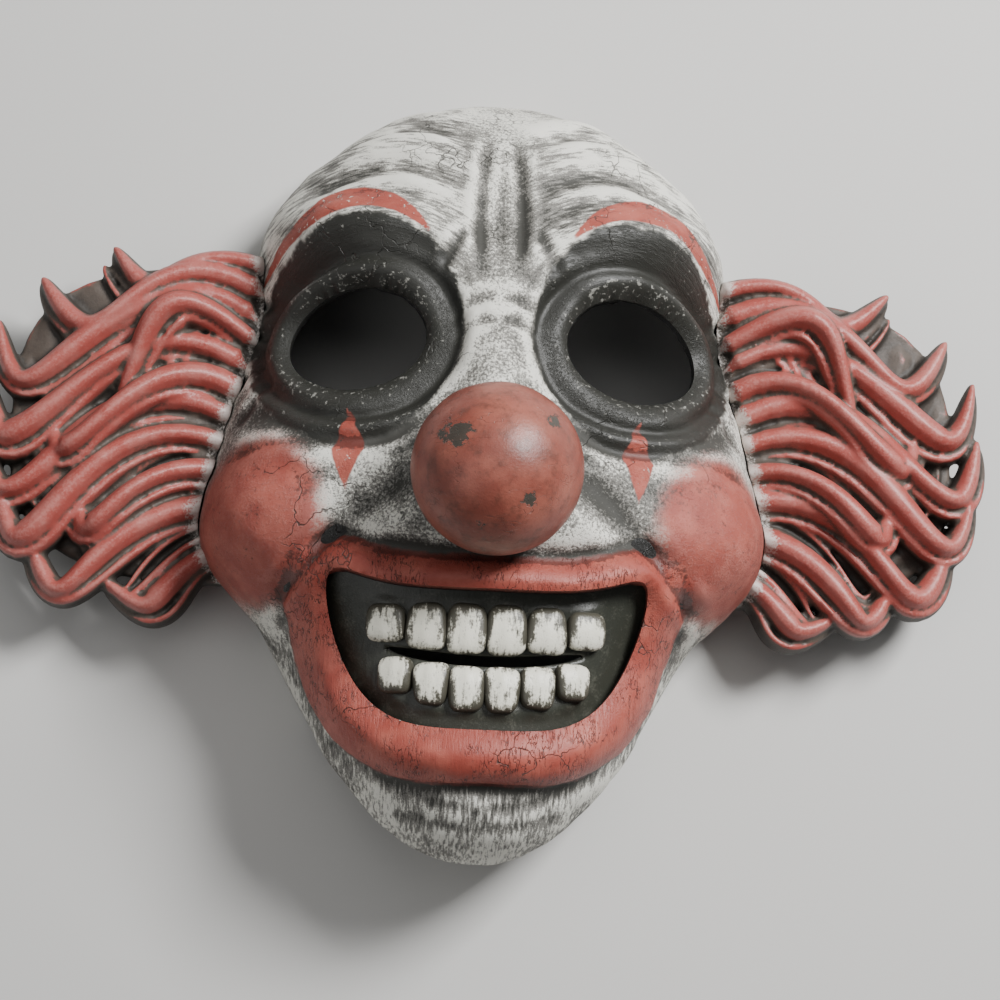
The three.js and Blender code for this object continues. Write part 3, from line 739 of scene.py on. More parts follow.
@dataclass(frozen=True)
class NosePaint:
    """Worn brick-red paint with dark rubbed spots, and painted shade round the foot, where the ball meets
    the face.
    """

    red: Colour = (0.20, 0.052, 0.036, 1)
    light: Colour = (0.31, 0.098, 0.068, 1)
    brown: Colour = (0.095, 0.034, 0.024, 1)
    # Dark grey of bare spots where the paint is rubbed off, also used as painted shade round the foot of
    # the ball.
    bare_and_shade: Colour = (0.040, 0.042, 0.034, 1)

    def material(self) -> bpy.types.Material:
        """Builds the material."""
        graph = Graph("nose_paint")
        place = graph.place()
        clouds = graph.noise(place, 75.0, 4.0, 0.6)
        specks = graph.noise(place, 1300.0, 4.0, 0.7)
        blots = graph.noise(place, 260.0, 4.0, 0.65)
        scratch = graph.noise(graph.stretched(place, (0.35, 1.6, 1.0)), 240.0, 2.0, 0.5)
        line = 1.0 - (scratch - 0.5).size().step(0.0, 0.012)
        line = line * graph.noise(place, 70.0).step(0.5, 0.62)
        colour = graph.mix(clouds.step(0.35, 0.68), self.red, self.light)
        colour = graph.mix(blots.step(0.45, 0.75) * 0.7, colour, self.brown)
        colour = graph.mix(specks.step(0.62, 0.7) * 0.6, colour, self.brown)
        colour = graph.mix(line * 0.5, colour, self.brown)
        worn = graph.painted("worn") + (blots - 0.5) * 2.6 + (specks - 0.5) * 1.2
        rubbed = worn.step(0.28, 0.45)
        colour = graph.mix(rubbed * 0.92, colour, self.bare_and_shade)
        # foot: painted shade on the underside and back of the ball, where it meets the face.
        foot = (graph.painted("foot") + (blots - 0.5) * 0.5).step(0.25, 0.8)
        colour = graph.mix(foot * 0.85, colour, self.bare_and_shade)
        roughness = 0.40 + (specks - 0.5) * 0.22 + rubbed * 0.06
        height = specks * 0.3 + blots * 0.4 - rubbed * 0.35 - line * 0.3
        return graph.finish(colour, roughness, height, 0.00026, {"Specular IOR Level": 0.5})


@dataclass(frozen=True)
class HairPaint:
    """Dusty red on the ridges, lighter on their crests as painted highlight, grey-brown in the grooves with
    painted shade in the deepest furrows and on the steep sides, and white overspray at the roots.
    """

    red: Colour = (0.36, 0.078, 0.064, 1)
    # Lighter dusty red: random dusty tone, and on the crests a painted highlight.
    dust_and_highlight: Colour = (0.50, 0.20, 0.17, 1)
    groove: Colour = (0.085, 0.066, 0.053, 1)
    # deep: painted shade in the deepest furrows.
    deep: Colour = (0.034, 0.028, 0.023, 1)
    spray: Colour = (0.60, 0.56, 0.52, 1)

    def material(self) -> bpy.types.Material:
        """Builds the material."""
        graph = Graph("hair_paint")
        place = graph.place()
        specks = graph.noise(place, 1300.0, 4.0, 0.7)
        clouds = graph.noise(place, 120.0, 4.0, 0.6)
        hollow = graph.painted("hollow")
        recess = hollow + (specks - 0.5) * 0.5 + (clouds - 0.5) * 0.5
        colour = graph.mix(clouds.step(0.4, 0.75) * 0.5, self.red, self.dust_and_highlight)
        # Lighter on the crests, away from the hollows: painted highlight.
        colour = graph.mix((specks - hollow * 0.35).step(0.56, 0.8) * 0.5, colour, self.dust_and_highlight)
        # Grey-brown of the grooves and pad floor, which also darkens the steep sides of the curls as
        # painted shade.
        colour = graph.mix(recess.step(0.02, 0.42), colour, self.groove)
        # Darkest colour: painted shade in the deepest furrows and low on the pad.
        colour = graph.mix(recess.step(0.5, 1.1), colour, self.deep)
        spray = graph.painted("root") + (specks - 0.5) * 1.5 + (clouds - 0.5) * 0.9 - hollow * 0.3
        colour = graph.mix(spray.step(0.55, 1.0) * 0.85, colour, self.spray)
        roughness = 0.40 + recess.step(0.0, 0.6) * 0.2 + (specks - 0.5) * 0.16
        height = specks * 0.4 + clouds * 0.6
        return graph.finish(colour, roughness, height, 0.0003, {"Specular IOR Level": 0.5})


# Pieces


def finished(
    bm: bmesh.types.BMesh, name: str, material: bpy.types.Material, node: str
) -> bpy.types.Object:
    """Makes a piece of the mask from its mesh, in place of its plain solid.

    Args:
        bm: The finished mesh, in metres in the frame.
        name: The piece's name.
        material: Its finish.
        node: The solid that it stands for.

    Returns:
        The piece's object, which rides on the mask's one body.
    """
    mesh = bpy.data.meshes.new(name)
    bm.to_mesh(mesh)
    bm.free()
    mesh.polygons.foreach_set("use_smooth", np.ones(len(mesh.polygons), dtype=bool))
    mesh.materials.append(material)
    piece = bpy.data.objects.new(name, mesh)
    bpy.context.scene.collection.objects.link(piece)
    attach(piece, "root")
    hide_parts(node)
    LOG.info("%s: %d faces", name, len(mesh.polygons))
    return piece


def carry(mesh: bpy.types.Mesh, name: str, values: Array) -> None:
    """Writes a number or a vector for each point of a mesh."""
    kind = "FLOAT" if values.ndim == 1 else "FLOAT_VECTOR"
    layer = mesh.attributes.new(name, kind, "POINT")
    layer.data.foreach_set("value" if values.ndim == 1 else "vector", values.astype(np.float32).ravel())


@dataclass
class MouldedFace:
    """The face shell: a fine outer skin, a plain inner skin, and the edges between them."""

    form: FaceForm
    columns: int = 270
    rows: int = 290
    inner_columns: int = 70
    inner_rows: int = 84
    patch_middle: tuple[float, float] = (41.0, 31.0)
    patch_half: tuple[float, float] = (31.0, 35.0)
    patch_turn: float = 14.0
    cheek_middle: tuple[float, float] = (66.0, -24.0)
    cheek_half: tuple[float, float] = (19.0, 23.0)
    tear_middle: tuple[float, float] = (41.0, -5.0)
    tear_half: tuple[float, float] = (4.6, 12.0)
    brow_line: tuple[tuple[float, float], ...] = ((21.0, 60.0), (43.0, 86.0), (70.0, 52.0))
    brow_half: float = 3.6
    brow_end: float = 0.5
    corner_reach: float = 11.0
    stroke_middle: tuple[float, float] = (36.0, 24.0)
    stroke_radius: float = 52.0
    forehead_from: tuple[float, float] = (30.0, 58.0)
    chin_from: tuple[float, float] = (34.0, 66.0)
    blur_passes: int = 14
    edge_reach: float = 8.0
    openings: list[Outline] = field(default_factory=list)

    def __post_init__(self) -> None:
        """Works out the openings' outlines."""
        eye = self.form.eye(72)
        left = Outline((eye.points * np.array([-1.0, 1.0]))[::-1])
        self.openings = [eye, left, self.form.mouth(44)]

    def angles(self, shares: Array) -> tuple[Array, Array]:
        """Rise and side angles of a grid's points."""
        fine = np.linspace(-math.pi / 2, math.pi / 2, 20001)
        middle = self.form.plain(fine, np.zeros(len(fine)))
        steps = np.linalg.norm(np.diff(middle, axis=0), axis=1)
        length = np.concatenate([[0.0], np.cumsum(steps)])
        rise = np.interp((shares[:, 1] + 1) / 2 * length[-1], length, fine)
        return rise, shares[:, 0] * math.pi / 2

    def detail(self, x: Array, y: Array) -> dict[str, Array]:
        """Relief of the lids, lips and creases, and the places of the make-up.

        Args:
            x: Places across the face.
            y: Places up the face.

        Returns:
            The relief in millimetres, and for each kind of paint how far inside its edge a
            place is.
        """
        form = self.form
        half = np.abs(x)
        places = np.stack([half, y], axis=1)
        eye_gap, _ = self.openings[0].nearest(places)
        mouth_gap, mouth_foot = self.openings[2].nearest(np.stack([x, y], axis=1))
        lip_relief, lip_inside = form.lip_relief(x, y, mouth_gap, mouth_foot)
        relief = form.lid_relief(eye_gap) + lip_relief
        for crease in form.creases:
            relief += self.crease(crease, places)
        relief += self.hand_work(x, y)
        return {"relief": relief, **self.make_up(half, y, places, lip_inside, mouth_gap)}

    def crease(self, crease: Crease, places: Array) -> Array:
        """Relief of one crease and of the skin that swells beside it."""
        ends = [np.array(p, dtype=float) for p in (crease.start, crease.over, crease.end)]
        gap, share, _ = line_distance(bowed(*ends, 12), places)
        fade = np.minimum(1.0, 5 * np.minimum(share, 1 - share))
        swell = crease.swell * hump(gap, crease.width * 2.1, crease.width)
        return crease.rise * fade * (hump(gap, 0.0, crease.width) - swell)

    def hand_work(self, x: Array, y: Array) -> Array:
        """Slight unevenness of a surface shaped by hand."""
        waves = np.sin(x * 0.21 + y * 0.13) * np.sin(y * 0.27 - x * 0.08)
        ripples = np.sin(x * 0.47 + 1.3) * np.sin(y * 0.55 + x * 0.12 + 0.6)
        return 0.22 * waves + 0.12 * ripples

    def make_up(
        self, half: Array, y: Array, places: Array, lip_inside: Array, mouth_gap: Array
    ) -> dict[str, Array]:
        """How far inside each kind of paint's edge places are, in millimetres."""
        form = self.form
        corner_y = form.mouth_level + form.smile_lift
        corner = self.corner_reach - np.hypot(half - form.mouth_width / 2 - 4.0, (y - corner_y - 1.0) * 1.1)
        arch = bowed(*(np.array(point) for point in self.brow_line), 14)
        gap, share, _ = line_distance(arch, places)
        brow = self.brow_end + self.brow_half * np.sin(math.pi * share) ** 0.8 - gap
        dx = (half - self.tear_middle[0]) / self.tear_half[0]
        dy = (y - self.tear_middle[1]) / self.tear_half[1]
        tear = (1 - np.abs(dx) - np.abs(dy)) * self.tear_half[0]
        angle = math.radians(self.patch_turn)
        px, py = half - self.patch_middle[0], y - self.patch_middle[1]
        along = (px * math.cos(angle) + py * math.sin(angle)) / self.patch_half[0]
        up = (py * math.cos(angle) - px * math.sin(angle)) / self.patch_half[1]
        patch = (1 - np.hypot(along, up)) * self.patch_half[0]
        cheek_x = (half - self.cheek_middle[0]) / self.cheek_half[0]
        cheek_y = (y - self.cheek_middle[1]) / self.cheek_half[1]
        cheek = (1 - np.hypot(cheek_x, cheek_y)) * self.cheek_half[0]
        clear = 12.0 * ease(mouth_gap, -1.0, 1.0) - 6.0
        return {
            "lips": np.minimum(np.maximum(lip_inside + 0.8, corner), clear + 6.0),
            "marks": np.maximum(brow, tear),
            "patch": patch,
            "cheek": cheek,
        }

    def outer_points(self, shares: Array) -> tuple[Array, dict[str, Array]]:
        """Points of the outer skin, and what they carry."""
        rise, side = self.angles(shares)
        fade = self.form.fade(rise, side)
        base = self.form.coarse(rise, side, 0.0)
        values = self.detail(base[:, 0], base[:, 1])
        relief = values.pop("relief") * fade
        points = base + self.form.outward(rise, side) * relief[:, None]
        order = np.lexsort((shares[:, 0], shares[:, 1]))
        flat = np.empty(len(shares))
        grid = relief[order].reshape(self.rows + 1, self.columns + 1)
        flat[order] = ((blurred(grid, self.blur_passes) - grid) * 1.1).ravel()
        x, y = points[:, 0], points[:, 1]
        half = np.abs(x)
        across, up = half - self.stroke_middle[0], y - self.stroke_middle[1]
        turn = np.arctan2(up, across) * self.stroke_radius
        apart = np.sign(x) * 40.0 + x * 0.1
        values["arc"] = np.stack([np.hypot(across, up), turn, apart], axis=1)
        values["high"] = ease(y, *self.forehead_from) * ease(half, 1.0, 17.0)
        values["low"] = ease(-y, *self.chin_from)
        # hollow: how far each point lies below its blurred neighbours; the face paint darkens there, partly
        # as painted shade.
        values["hollow"] = np.clip(flat, -1.2, 1.6)
        values["dry_brush_and_shade"] = self.cover(half, y, points[:, 2])
        values["inside"] = np.zeros(len(x))
        return points, values

    def cover(self, half: Array, y: Array, z: Array) -> Array:
        """How much more or less of the white there is in each part of the face; less towards the rim is
        painted shade.
        """
        rim = ease(z, 0.0, 26.0)
        beside_nose = hump(half, 24.0, 13.0) * hump(y, -6.0, 20.0)
        frown = hump(half, 8.0, 9.0) * hump(y, 58.0, 22.0)
        temple = ease(np.hypot(half / 84.0, (y - 8.0) / 106.0), 0.72, 0.95) * ease(y, 20.0, 50.0)
        under_eye = hump(np.hypot(half - 42.0, (y - 8.0) * 1.2), 26.0, 12.0) * (y < 12)
        # The 0.12 * (1 - rim) term is painted shade: less white low on the sides, where the face turns down
        # to the floor.
        less = 0.42 * beside_nose + 0.36 * frown + 0.3 * under_eye + 0.12 * (1 - rim)
        return 0.02 + 0.16 * temple - less

    def inner_points(self, shares: Array) -> Array:
        """Points of the inner skin."""
        rise, side = self.angles(shares)
        return self.form.coarse(rise, side, -self.form.wall)

    def skin(
        self, bm: bmesh.types.BMesh, columns: int, rows: int, outer: bool
    ) -> tuple[list[bmesh.types.BMVert], Array, dict[str, Array]]:
        """Adds one skin to the mesh and opens its eyes and mouth.

        Args:
            bm: The mesh.
            columns: Cells across.
            rows: Cells from the chin to the forehead.
            outer: Whether it is the outer skin.

        Returns:
            The new points that are left, all the points' places, and what the points carry.
        """
        made = bmesh.ops.create_grid(bm, x_segments=columns, y_segments=rows, size=1.0)["verts"]
        shares = np.array([vert.co[:2] for vert in made])
        carried: dict[str, Array] = {}
        if outer:
            points, carried = self.outer_points(shares)
        else:
            points = self.inner_points(shares)
        tag = bm.verts.layers.int["source"]
        inside = np.zeros(len(points), dtype=bool)
        for opening in self.openings:
            inside |= opening.nearest(points[:, :2])[0] < 0.0
        frame_points = self.form.to_frame(points)
        doomed = []
        kept = []
        for index, vert in enumerate(made):
            vert.co = frame_points[index]
            vert[tag] = index if outer else -1
            if inside[index]:
                doomed.append(vert)
            else:
                kept.append(vert)
        poles = [v for v, s in zip(made, shares) if abs(abs(s[1]) - 1.0) < 1e-6]
        bmesh.ops.delete(bm, geom=doomed, context="VERTS")
        poles = [v for v in poles if v.is_valid]
        bmesh.ops.remove_doubles(bm, verts=poles, dist=1e-6)
        return [v for v in kept if v.is_valid], points, carried

    def snap(self, verts: list[bmesh.types.BMVert]) -> list[list[bmesh.types.BMEdge]]:
        """Moves the ragged edge of each opening onto its outline.

        Args:
            verts: The points of one skin.

        Returns:
            The edges of each opening's loop.
        """
        shift = np.array(self.form.shift)
        loops: list[list[bmesh.types.BMEdge]] = [[] for _ in self.openings]
        edge_verts = [v for v in verts if v.is_boundary and v.co.z > self.edge_reach * MM]
        places = np.array([v.co[:2] for v in edge_verts]) / MM - shift
        gaps = np.stack([np.abs(o.nearest(places)[0]) for o in self.openings])
        feet = [o.nearest(places)[1] for o in self.openings]
        owner = np.argmin(gaps, axis=0)
        normals = [v.normal.copy() for v in edge_verts]
        for index, vert in enumerate(edge_verts):
            foot = (feet[owner[index]][index] + shift) * MM
            dx, dy = foot[0] - vert.co.x, foot[1] - vert.co.y
            normal = normals[index]
            lean = max(abs(normal.z), 0.35) * (1 if normal.z >= 0 else -1)
            vert.co.z -= max(min((normal.x * dx + normal.y * dy) / lean, MM), -MM)
            vert.co.x, vert.co.y = float(foot[0]), float(foot[1])
        known = {vert: int(owner[index]) for index, vert in enumerate(edge_verts)}
        seen: set[bmesh.types.BMEdge] = set()
        for vert in edge_verts:
            for edge in vert.link_edges:
                if edge.is_boundary and edge not in seen and edge.other_vert(vert) in known:
                    seen.add(edge)
                    loops[known[vert]].append(edge)
        return loops

    def half_rim(self, rim: list[bmesh.types.BMEdge], side: Side) -> list[bmesh.types.BMEdge]:
        """The edges of a rim that are on one side, from the chin to the forehead."""
        middle = self.form.shift[0] * MM
        return [
            edge
            for edge in rim
            if side.value * (edge.verts[0].co.x + edge.verts[1].co.x - 2 * middle) > 0
        ]

    def build(self, paint: FacePaint) -> bpy.types.Object:
        """Builds the shell.

        Args:
            paint: Its finish.

        Returns:
            The finished piece.
        """
        bm = bmesh.new()
        bm.verts.layers.int.new("source")
        outer, _, carried = self.skin(bm, self.columns, self.rows, True)
        bm.normal_update()
        outer_loops = self.snap(outer)
        outer_rim = [e for e in bm.edges if e.is_boundary and e.verts[0].co.z < 2 * MM]
        inner, _, _ = self.skin(bm, self.inner_columns, self.inner_rows, False)
        bm.normal_update()
        inner_loops = self.snap([v for v in inner if v.is_valid])
        known = {*outer_rim, *(edge for loop in (*outer_loops, *inner_loops) for edge in loop)}
        inner_rim = [e for e in bm.edges if e.is_boundary and e not in known]
        pairs = list(zip(outer_loops, inner_loops))
        for side in (Side.LEFT, Side.RIGHT):
            pairs.append((self.half_rim(outer_rim, side), self.half_rim(inner_rim, side)))
        for first, second in pairs:
            for edge in (*first, *second):
                edge.smooth = False
            bmesh.ops.bridge_loops(bm, edges=[*first, *second])
        bmesh.ops.recalc_face_normals(bm, faces=bm.faces)
        LOG.info("face shell: %d open edges", sum(1 for edge in bm.edges if edge.is_boundary))
        piece = finished(bm, "moulded_face", paint.material(), "face_shell")
        mesh = piece.data
        source = np.empty(len(mesh.vertices), dtype=np.int32)
        mesh.attributes["source"].data.foreach_get("value", source)
        for name, values in carried.items():
            spread = values[np.maximum(source, 0)].copy()
            # The inner skin's points get inside = 1, so they are painted near-black as painted shade.
            spread[source < 0] = 1.0 if name == "inside" else 0.0
            carry(mesh, name, spread)
        return piece


@dataclass
class GumAndTeeth:
    """The plate behind the lips, with two rows of teeth and a slit between them."""

    form: FaceForm
    wall: float = 2.2
    lap: float = 4.6
    count: int = 6
    pitch: float = 11.0
    upper: float = 14.5
    lower: float = 13.0
    lower_row: float = 0.88
    rise: float = 4.0
    sink: float = 1.2
    fill: float = 1.12
    side_loss: float = 0.35
    bite_lift: float = 4.0
    slit_width: float = 56.0
    slit_height: float = 3.0
    squareness: float = 3.6
    root_narrowing: float = 0.13
    gum_swell: float = 1.5

    def bite(self, x: Array) -> Array:
        """Height of the line between the rows."""
        return self.form.mouth_level + self.bite_lift * (2 * x / (self.count * self.pitch)) ** 2

    def slit(self) -> Outline:
        """The slit between the rows."""
        share = np.linspace(-1.0, 1.0, 41)
        x = share * self.slit_width / 2
        half = self.slit_height / 2 * np.sqrt(np.maximum(1 - share**4, 0.0))
        lower = np.stack([x, self.bite(x) - half], axis=1)
        upper = np.stack([x, self.bite(x) + half], axis=1)[::-1]
        return Outline(np.vstack([lower, upper[1:-1]]))

    def tooth_place(self, index: int, end: int) -> tuple[float, float, float, float]:
        """Middle, width and height of one tooth of the upper (1) or lower (-1) row."""
        row = 1.0 if end > 0 else self.lower_row
        x = (index - (self.count - 1) / 2) * self.pitch * row
        share = abs(2 * x / (self.count * self.pitch))
        height = (self.upper if end > 0 else self.lower) * (1 - self.side_loss * share**2)
        y = float(self.bite(np.array([x]))[0]) + end * (self.slit_height / 2 + height / 2)
        return x, y, self.pitch * row * self.fill, height

    def gum_height(self, x: Array, y: Array) -> Array:
        """Swell of the gum over each tooth's root."""
        swell = np.zeros(len(x))
        for end in (1, -1):
            for index in range(self.count):
                tx, ty, wide, height = self.tooth_place(index, end)
                root = ty + end * height * 0.62
                swell += self.gum_swell * hump(x, tx, wide * 0.36) * hump(y, root, height * 0.42)
        return swell

    def gum(self, bm: bmesh.types.BMesh) -> None:
        """Adds the gum plate, open at the slit."""
        made = bmesh.ops.create_grid(bm, x_segments=150, y_segments=70, size=1.0)["verts"]
        shares = np.array([vert.co[:2] for vert in made])
        form = self.form
        reach = form.mouth_width / 2
        x = shares[:, 0] * reach * 0.9995
        low = form.mouth_edge(x, -1) - self.lap
        high = form.mouth_edge(x, 1) + self.lap
        y = low + (high - low) * (shares[:, 1] + 1) / 2
        x = x * (1 + self.lap / reach)
        front = form.above(x, y, -form.wall - form.seat_gap)
        mouth_gap, _ = form.mouth(40).nearest(np.stack([x, y], axis=1))
        swell = self.gum_height(x, y) * ease(-mouth_gap, 2.0, 6.0)
        places = form.to_frame(np.stack([x, y, front + swell], axis=1))
        inside, feet = self.slit().nearest(np.stack([x, y], axis=1))
        near = {}
        doomed = []
        for index, vert in enumerate(made):
            vert.co = places[index]
            if inside[index] < 0:
                doomed.append(vert)
            elif inside[index] < 2.0:
                near[vert] = form.to_frame(np.array([[*feet[index], 0.0]]))[0]
        bmesh.ops.delete(bm, geom=doomed, context="VERTS")
        for vert, foot in near.items():
            if vert.is_valid and vert.is_boundary:
                vert.co.x, vert.co.y = float(foot[0]), float(foot[1])
        bmesh.ops.solidify(bm, geom=list(bm.faces), thickness=self.wall * MM)
        bmesh.ops.recalc_face_normals(bm, faces=bm.faces)

    def tooth(self, bm: bmesh.types.BMesh, index: int, end: int) -> list[bmesh.types.BMVert]:
        """Adds one fat rounded tooth.

        Args:
            bm: The mesh.
            index: Its place in the row, from the left.
            end: 1 for the upper row and -1 for the lower.

        Returns:
            The tooth's points.
        """
        x, y, wide, height = self.tooth_place(index, end)
        form = self.form
        verts = bmesh.ops.create_icosphere(bm, subdivisions=4, radius=1.0)["verts"]
        beside = np.array([x + 1.0, x - 1.0])
        gum = form.above(beside, np.array([y, y]), -form.wall - form.seat_gap)
        lean = math.atan2(gum[0] - gum[1], 2.0)
        middle = float(form.above(np.array([x]), np.array([y]), -form.wall - form.seat_gap)[0])
        layer_root = bm.verts.layers.float["root"]
        layer_flank_shade = bm.verts.layers.float["flank"]
        layer_tooth = bm.verts.layers.float["tooth"]
        wobble = math.sin(index * 2.7 + end) * 0.05
        power = self.squareness
        for vert in verts:
            u, v, w = vert.co
            length = (abs(u) ** power + abs(v) ** power + abs(w) ** power) ** (1 / power)
            u, v, w = u / length, v / length, w / length
            root = (v * end + 1) / 2
            narrow = 1 - self.root_narrowing * root + wobble * v
            bulge = 1 - 0.25 * (1 - root) ** 2 * abs(v)
            groove = 0.06 * math.cos(u * 7.0) * (1 - root)
            px = u * wide / 2 * narrow
            py = v * height / 2 * (1 + 0.05 * u * math.sin(index * 1.9))
            pz = w * (self.rise * (bulge + groove) if w > 0 else self.sink)
            vert[layer_root] = root
            # flank: how far a point lies towards the tooth's edges or faces sideways; the paint darkens
            # there, partly as painted shade.
            vert[layer_flank_shade] = max(abs(u) ** 3, abs(v) ** 4 * 0.7, 1 - max(w, 0.0) ** 0.5)
            vert[layer_tooth] = 1.0
            across = px * math.cos(lean) - pz * math.sin(lean)
            out = px * math.sin(lean) + pz * math.cos(lean)
            vert.co = form.to_frame(np.array([[x + across, y + py, middle + out]]))[0]
        return verts

    def build(self, paint: ToothPaint) -> bpy.types.Object:
        """Builds the plate.

        Args:
            paint: Its finish.

        Returns:
            The finished piece.
        """
        bm = bmesh.new()
        for name in ("root", "flank", "tooth"):
            bm.verts.layers.float.new(name)
        self.gum(bm)
        for end in (1, -1):
            for index in range(self.count):
                self.tooth(bm, index, end)
        return finished(bm, "gum_and_teeth", paint.material(), "tooth_plate")


@dataclass
class BallNose:
    """The round nose, cupped over the stub that it is seated on."""

    form: FaceForm
    diameter: float = 47.0
    sink: float = 19.0
    around: int = 96
    up: int = 64
    dent: float = 0.1
    spots: tuple[tuple[float, float, float], ...] = (
        (-0.52, 0.25, 0.20),
        (0.35, -0.5, 0.12),
        (0.6, 0.45, 0.10),
        (-0.2, -0.7, 0.09),
    )

    def build(self, paint: NosePaint) -> bpy.types.Object:
        """Builds the nose.

        Args:
            paint: Its finish.

        Returns:
            The finished piece.
        """
        form = self.form
        level = np.array([form.nose_level])
        stub = float(form.above(np.zeros(1), level, 0.0)[0])
        middle = np.array([0.0, form.nose_level, stub + self.diameter / 2 - self.sink])
        bm = bmesh.new()
        radius = self.diameter / 2
        bmesh.ops.create_uvsphere(bm, u_segments=self.around, v_segments=self.up, radius=radius)
        points = np.array([vert.co[:] for vert in bm.verts])
        unit = points / radius
        across = np.sin(unit[:, 0] * 9 + unit[:, 1] * 4)
        dents = self.dent * across * np.sin(unit[:, 1] * 7 - unit[:, 2] * 5)
        points = unit * (radius + dents - self.dent)[:, None] + middle
        seat = form.above(points[:, 0], points[:, 1], form.seat_gap)
        lowest = np.minimum(seat, middle[2] - 2.0)
        below = points[:, 2] < lowest
        points[below, 2] = lowest[below]
        places = form.to_frame(points)
        worn_layer = bm.verts.layers.float.new("worn")
        foot_shade_layer = bm.verts.layers.float.new("foot")
        worn = np.full(len(unit), -1.0)
        for spot_x, spot_y, size in self.spots:
            gap = np.hypot(unit[:, 0] - spot_x, unit[:, 1] - spot_y)
            worn = np.maximum(worn, (size - gap) * 6.0)
        # Painted shade on the back and underside of the ball, towards the face.
        foot = ease(-unit[:, 2], -0.25, 0.35)
        for index, vert in enumerate(bm.verts):
            vert.co = places[index]
            vert[worn_layer] = float(worn[index])
            vert[foot_shade_layer] = float(foot[index])
        return finished(bm, "ball_nose", paint.material(), "nose_ball")


@dataclass(frozen=True)
class Curl:
    """One lock: where it starts and ends, its first and last heading, and its fullness."""

    root: float
    tip: tuple[float, float]
    leave: float
    arrive: float
    girth: float
    lift: float


CURLS_RIGHT = (
    Curl(0.84, (0.6, 0.92), 24, 50, 0.95, 0.3),
    Curl(0.66, (0.86, 0.66), 32, 66, 1.0, 0.7),
    Curl(0.5, (0.46, 0.02), 34, -72, 0.95, 1.3),
    Curl(0.37, (0.98, 0.42), 40, 82, 1.05, 0.6),
    Curl(0.21, (0.72, 0.12), 40, 84, 1.0, 1.35),
    Curl(0.06, (1.0, 0.08), 36, 84, 1.05, 0.7),
    Curl(-0.1, (0.98, -0.22), 32, 80, 1.05, 0.8),
    Curl(-0.26, (0.6, -0.3), 30, 88, 0.95, 1.35),
    Curl(-0.4, (0.88, -0.54), 20, 72, 1.05, 0.7),
    Curl(-0.56, (0.64, -0.76), 6, 66, 1.0, 0.8),
    Curl(-0.74, (0.42, -0.96), -14, 34, 0.95, 0.3),
)
CURLS_LEFT = (
    Curl(0.85, (0.5, 0.96), 22, 58, 0.95, 0.3),
    Curl(0.68, (0.8, 0.76), 34, 60, 1.0, 0.7),
    Curl(0.52, (0.97, 0.5), 40, 80, 1.05, 0.6),
    Curl(0.4, (0.44, 0.0), 36, -68, 0.95, 1.35),
    Curl(0.24, (1.0, 0.18), 38, 84, 1.05, 0.8),
    Curl(0.09, (0.7, 0.0), 38, 90, 1.0, 1.35),
    Curl(-0.07, (1.0, -0.12), 34, 82, 1.05, 0.6),
    Curl(-0.22, (0.92, -0.42), 28, 80, 1.05, 0.9),
    Curl(-0.38, (0.58, -0.44), 24, 84, 0.95, 1.3),
    Curl(-0.54, (0.78, -0.72), 8, 70, 1.0, 0.6),
    Curl(-0.72, (0.46, -0.95), -12, 40, 0.95, 0.3),
)


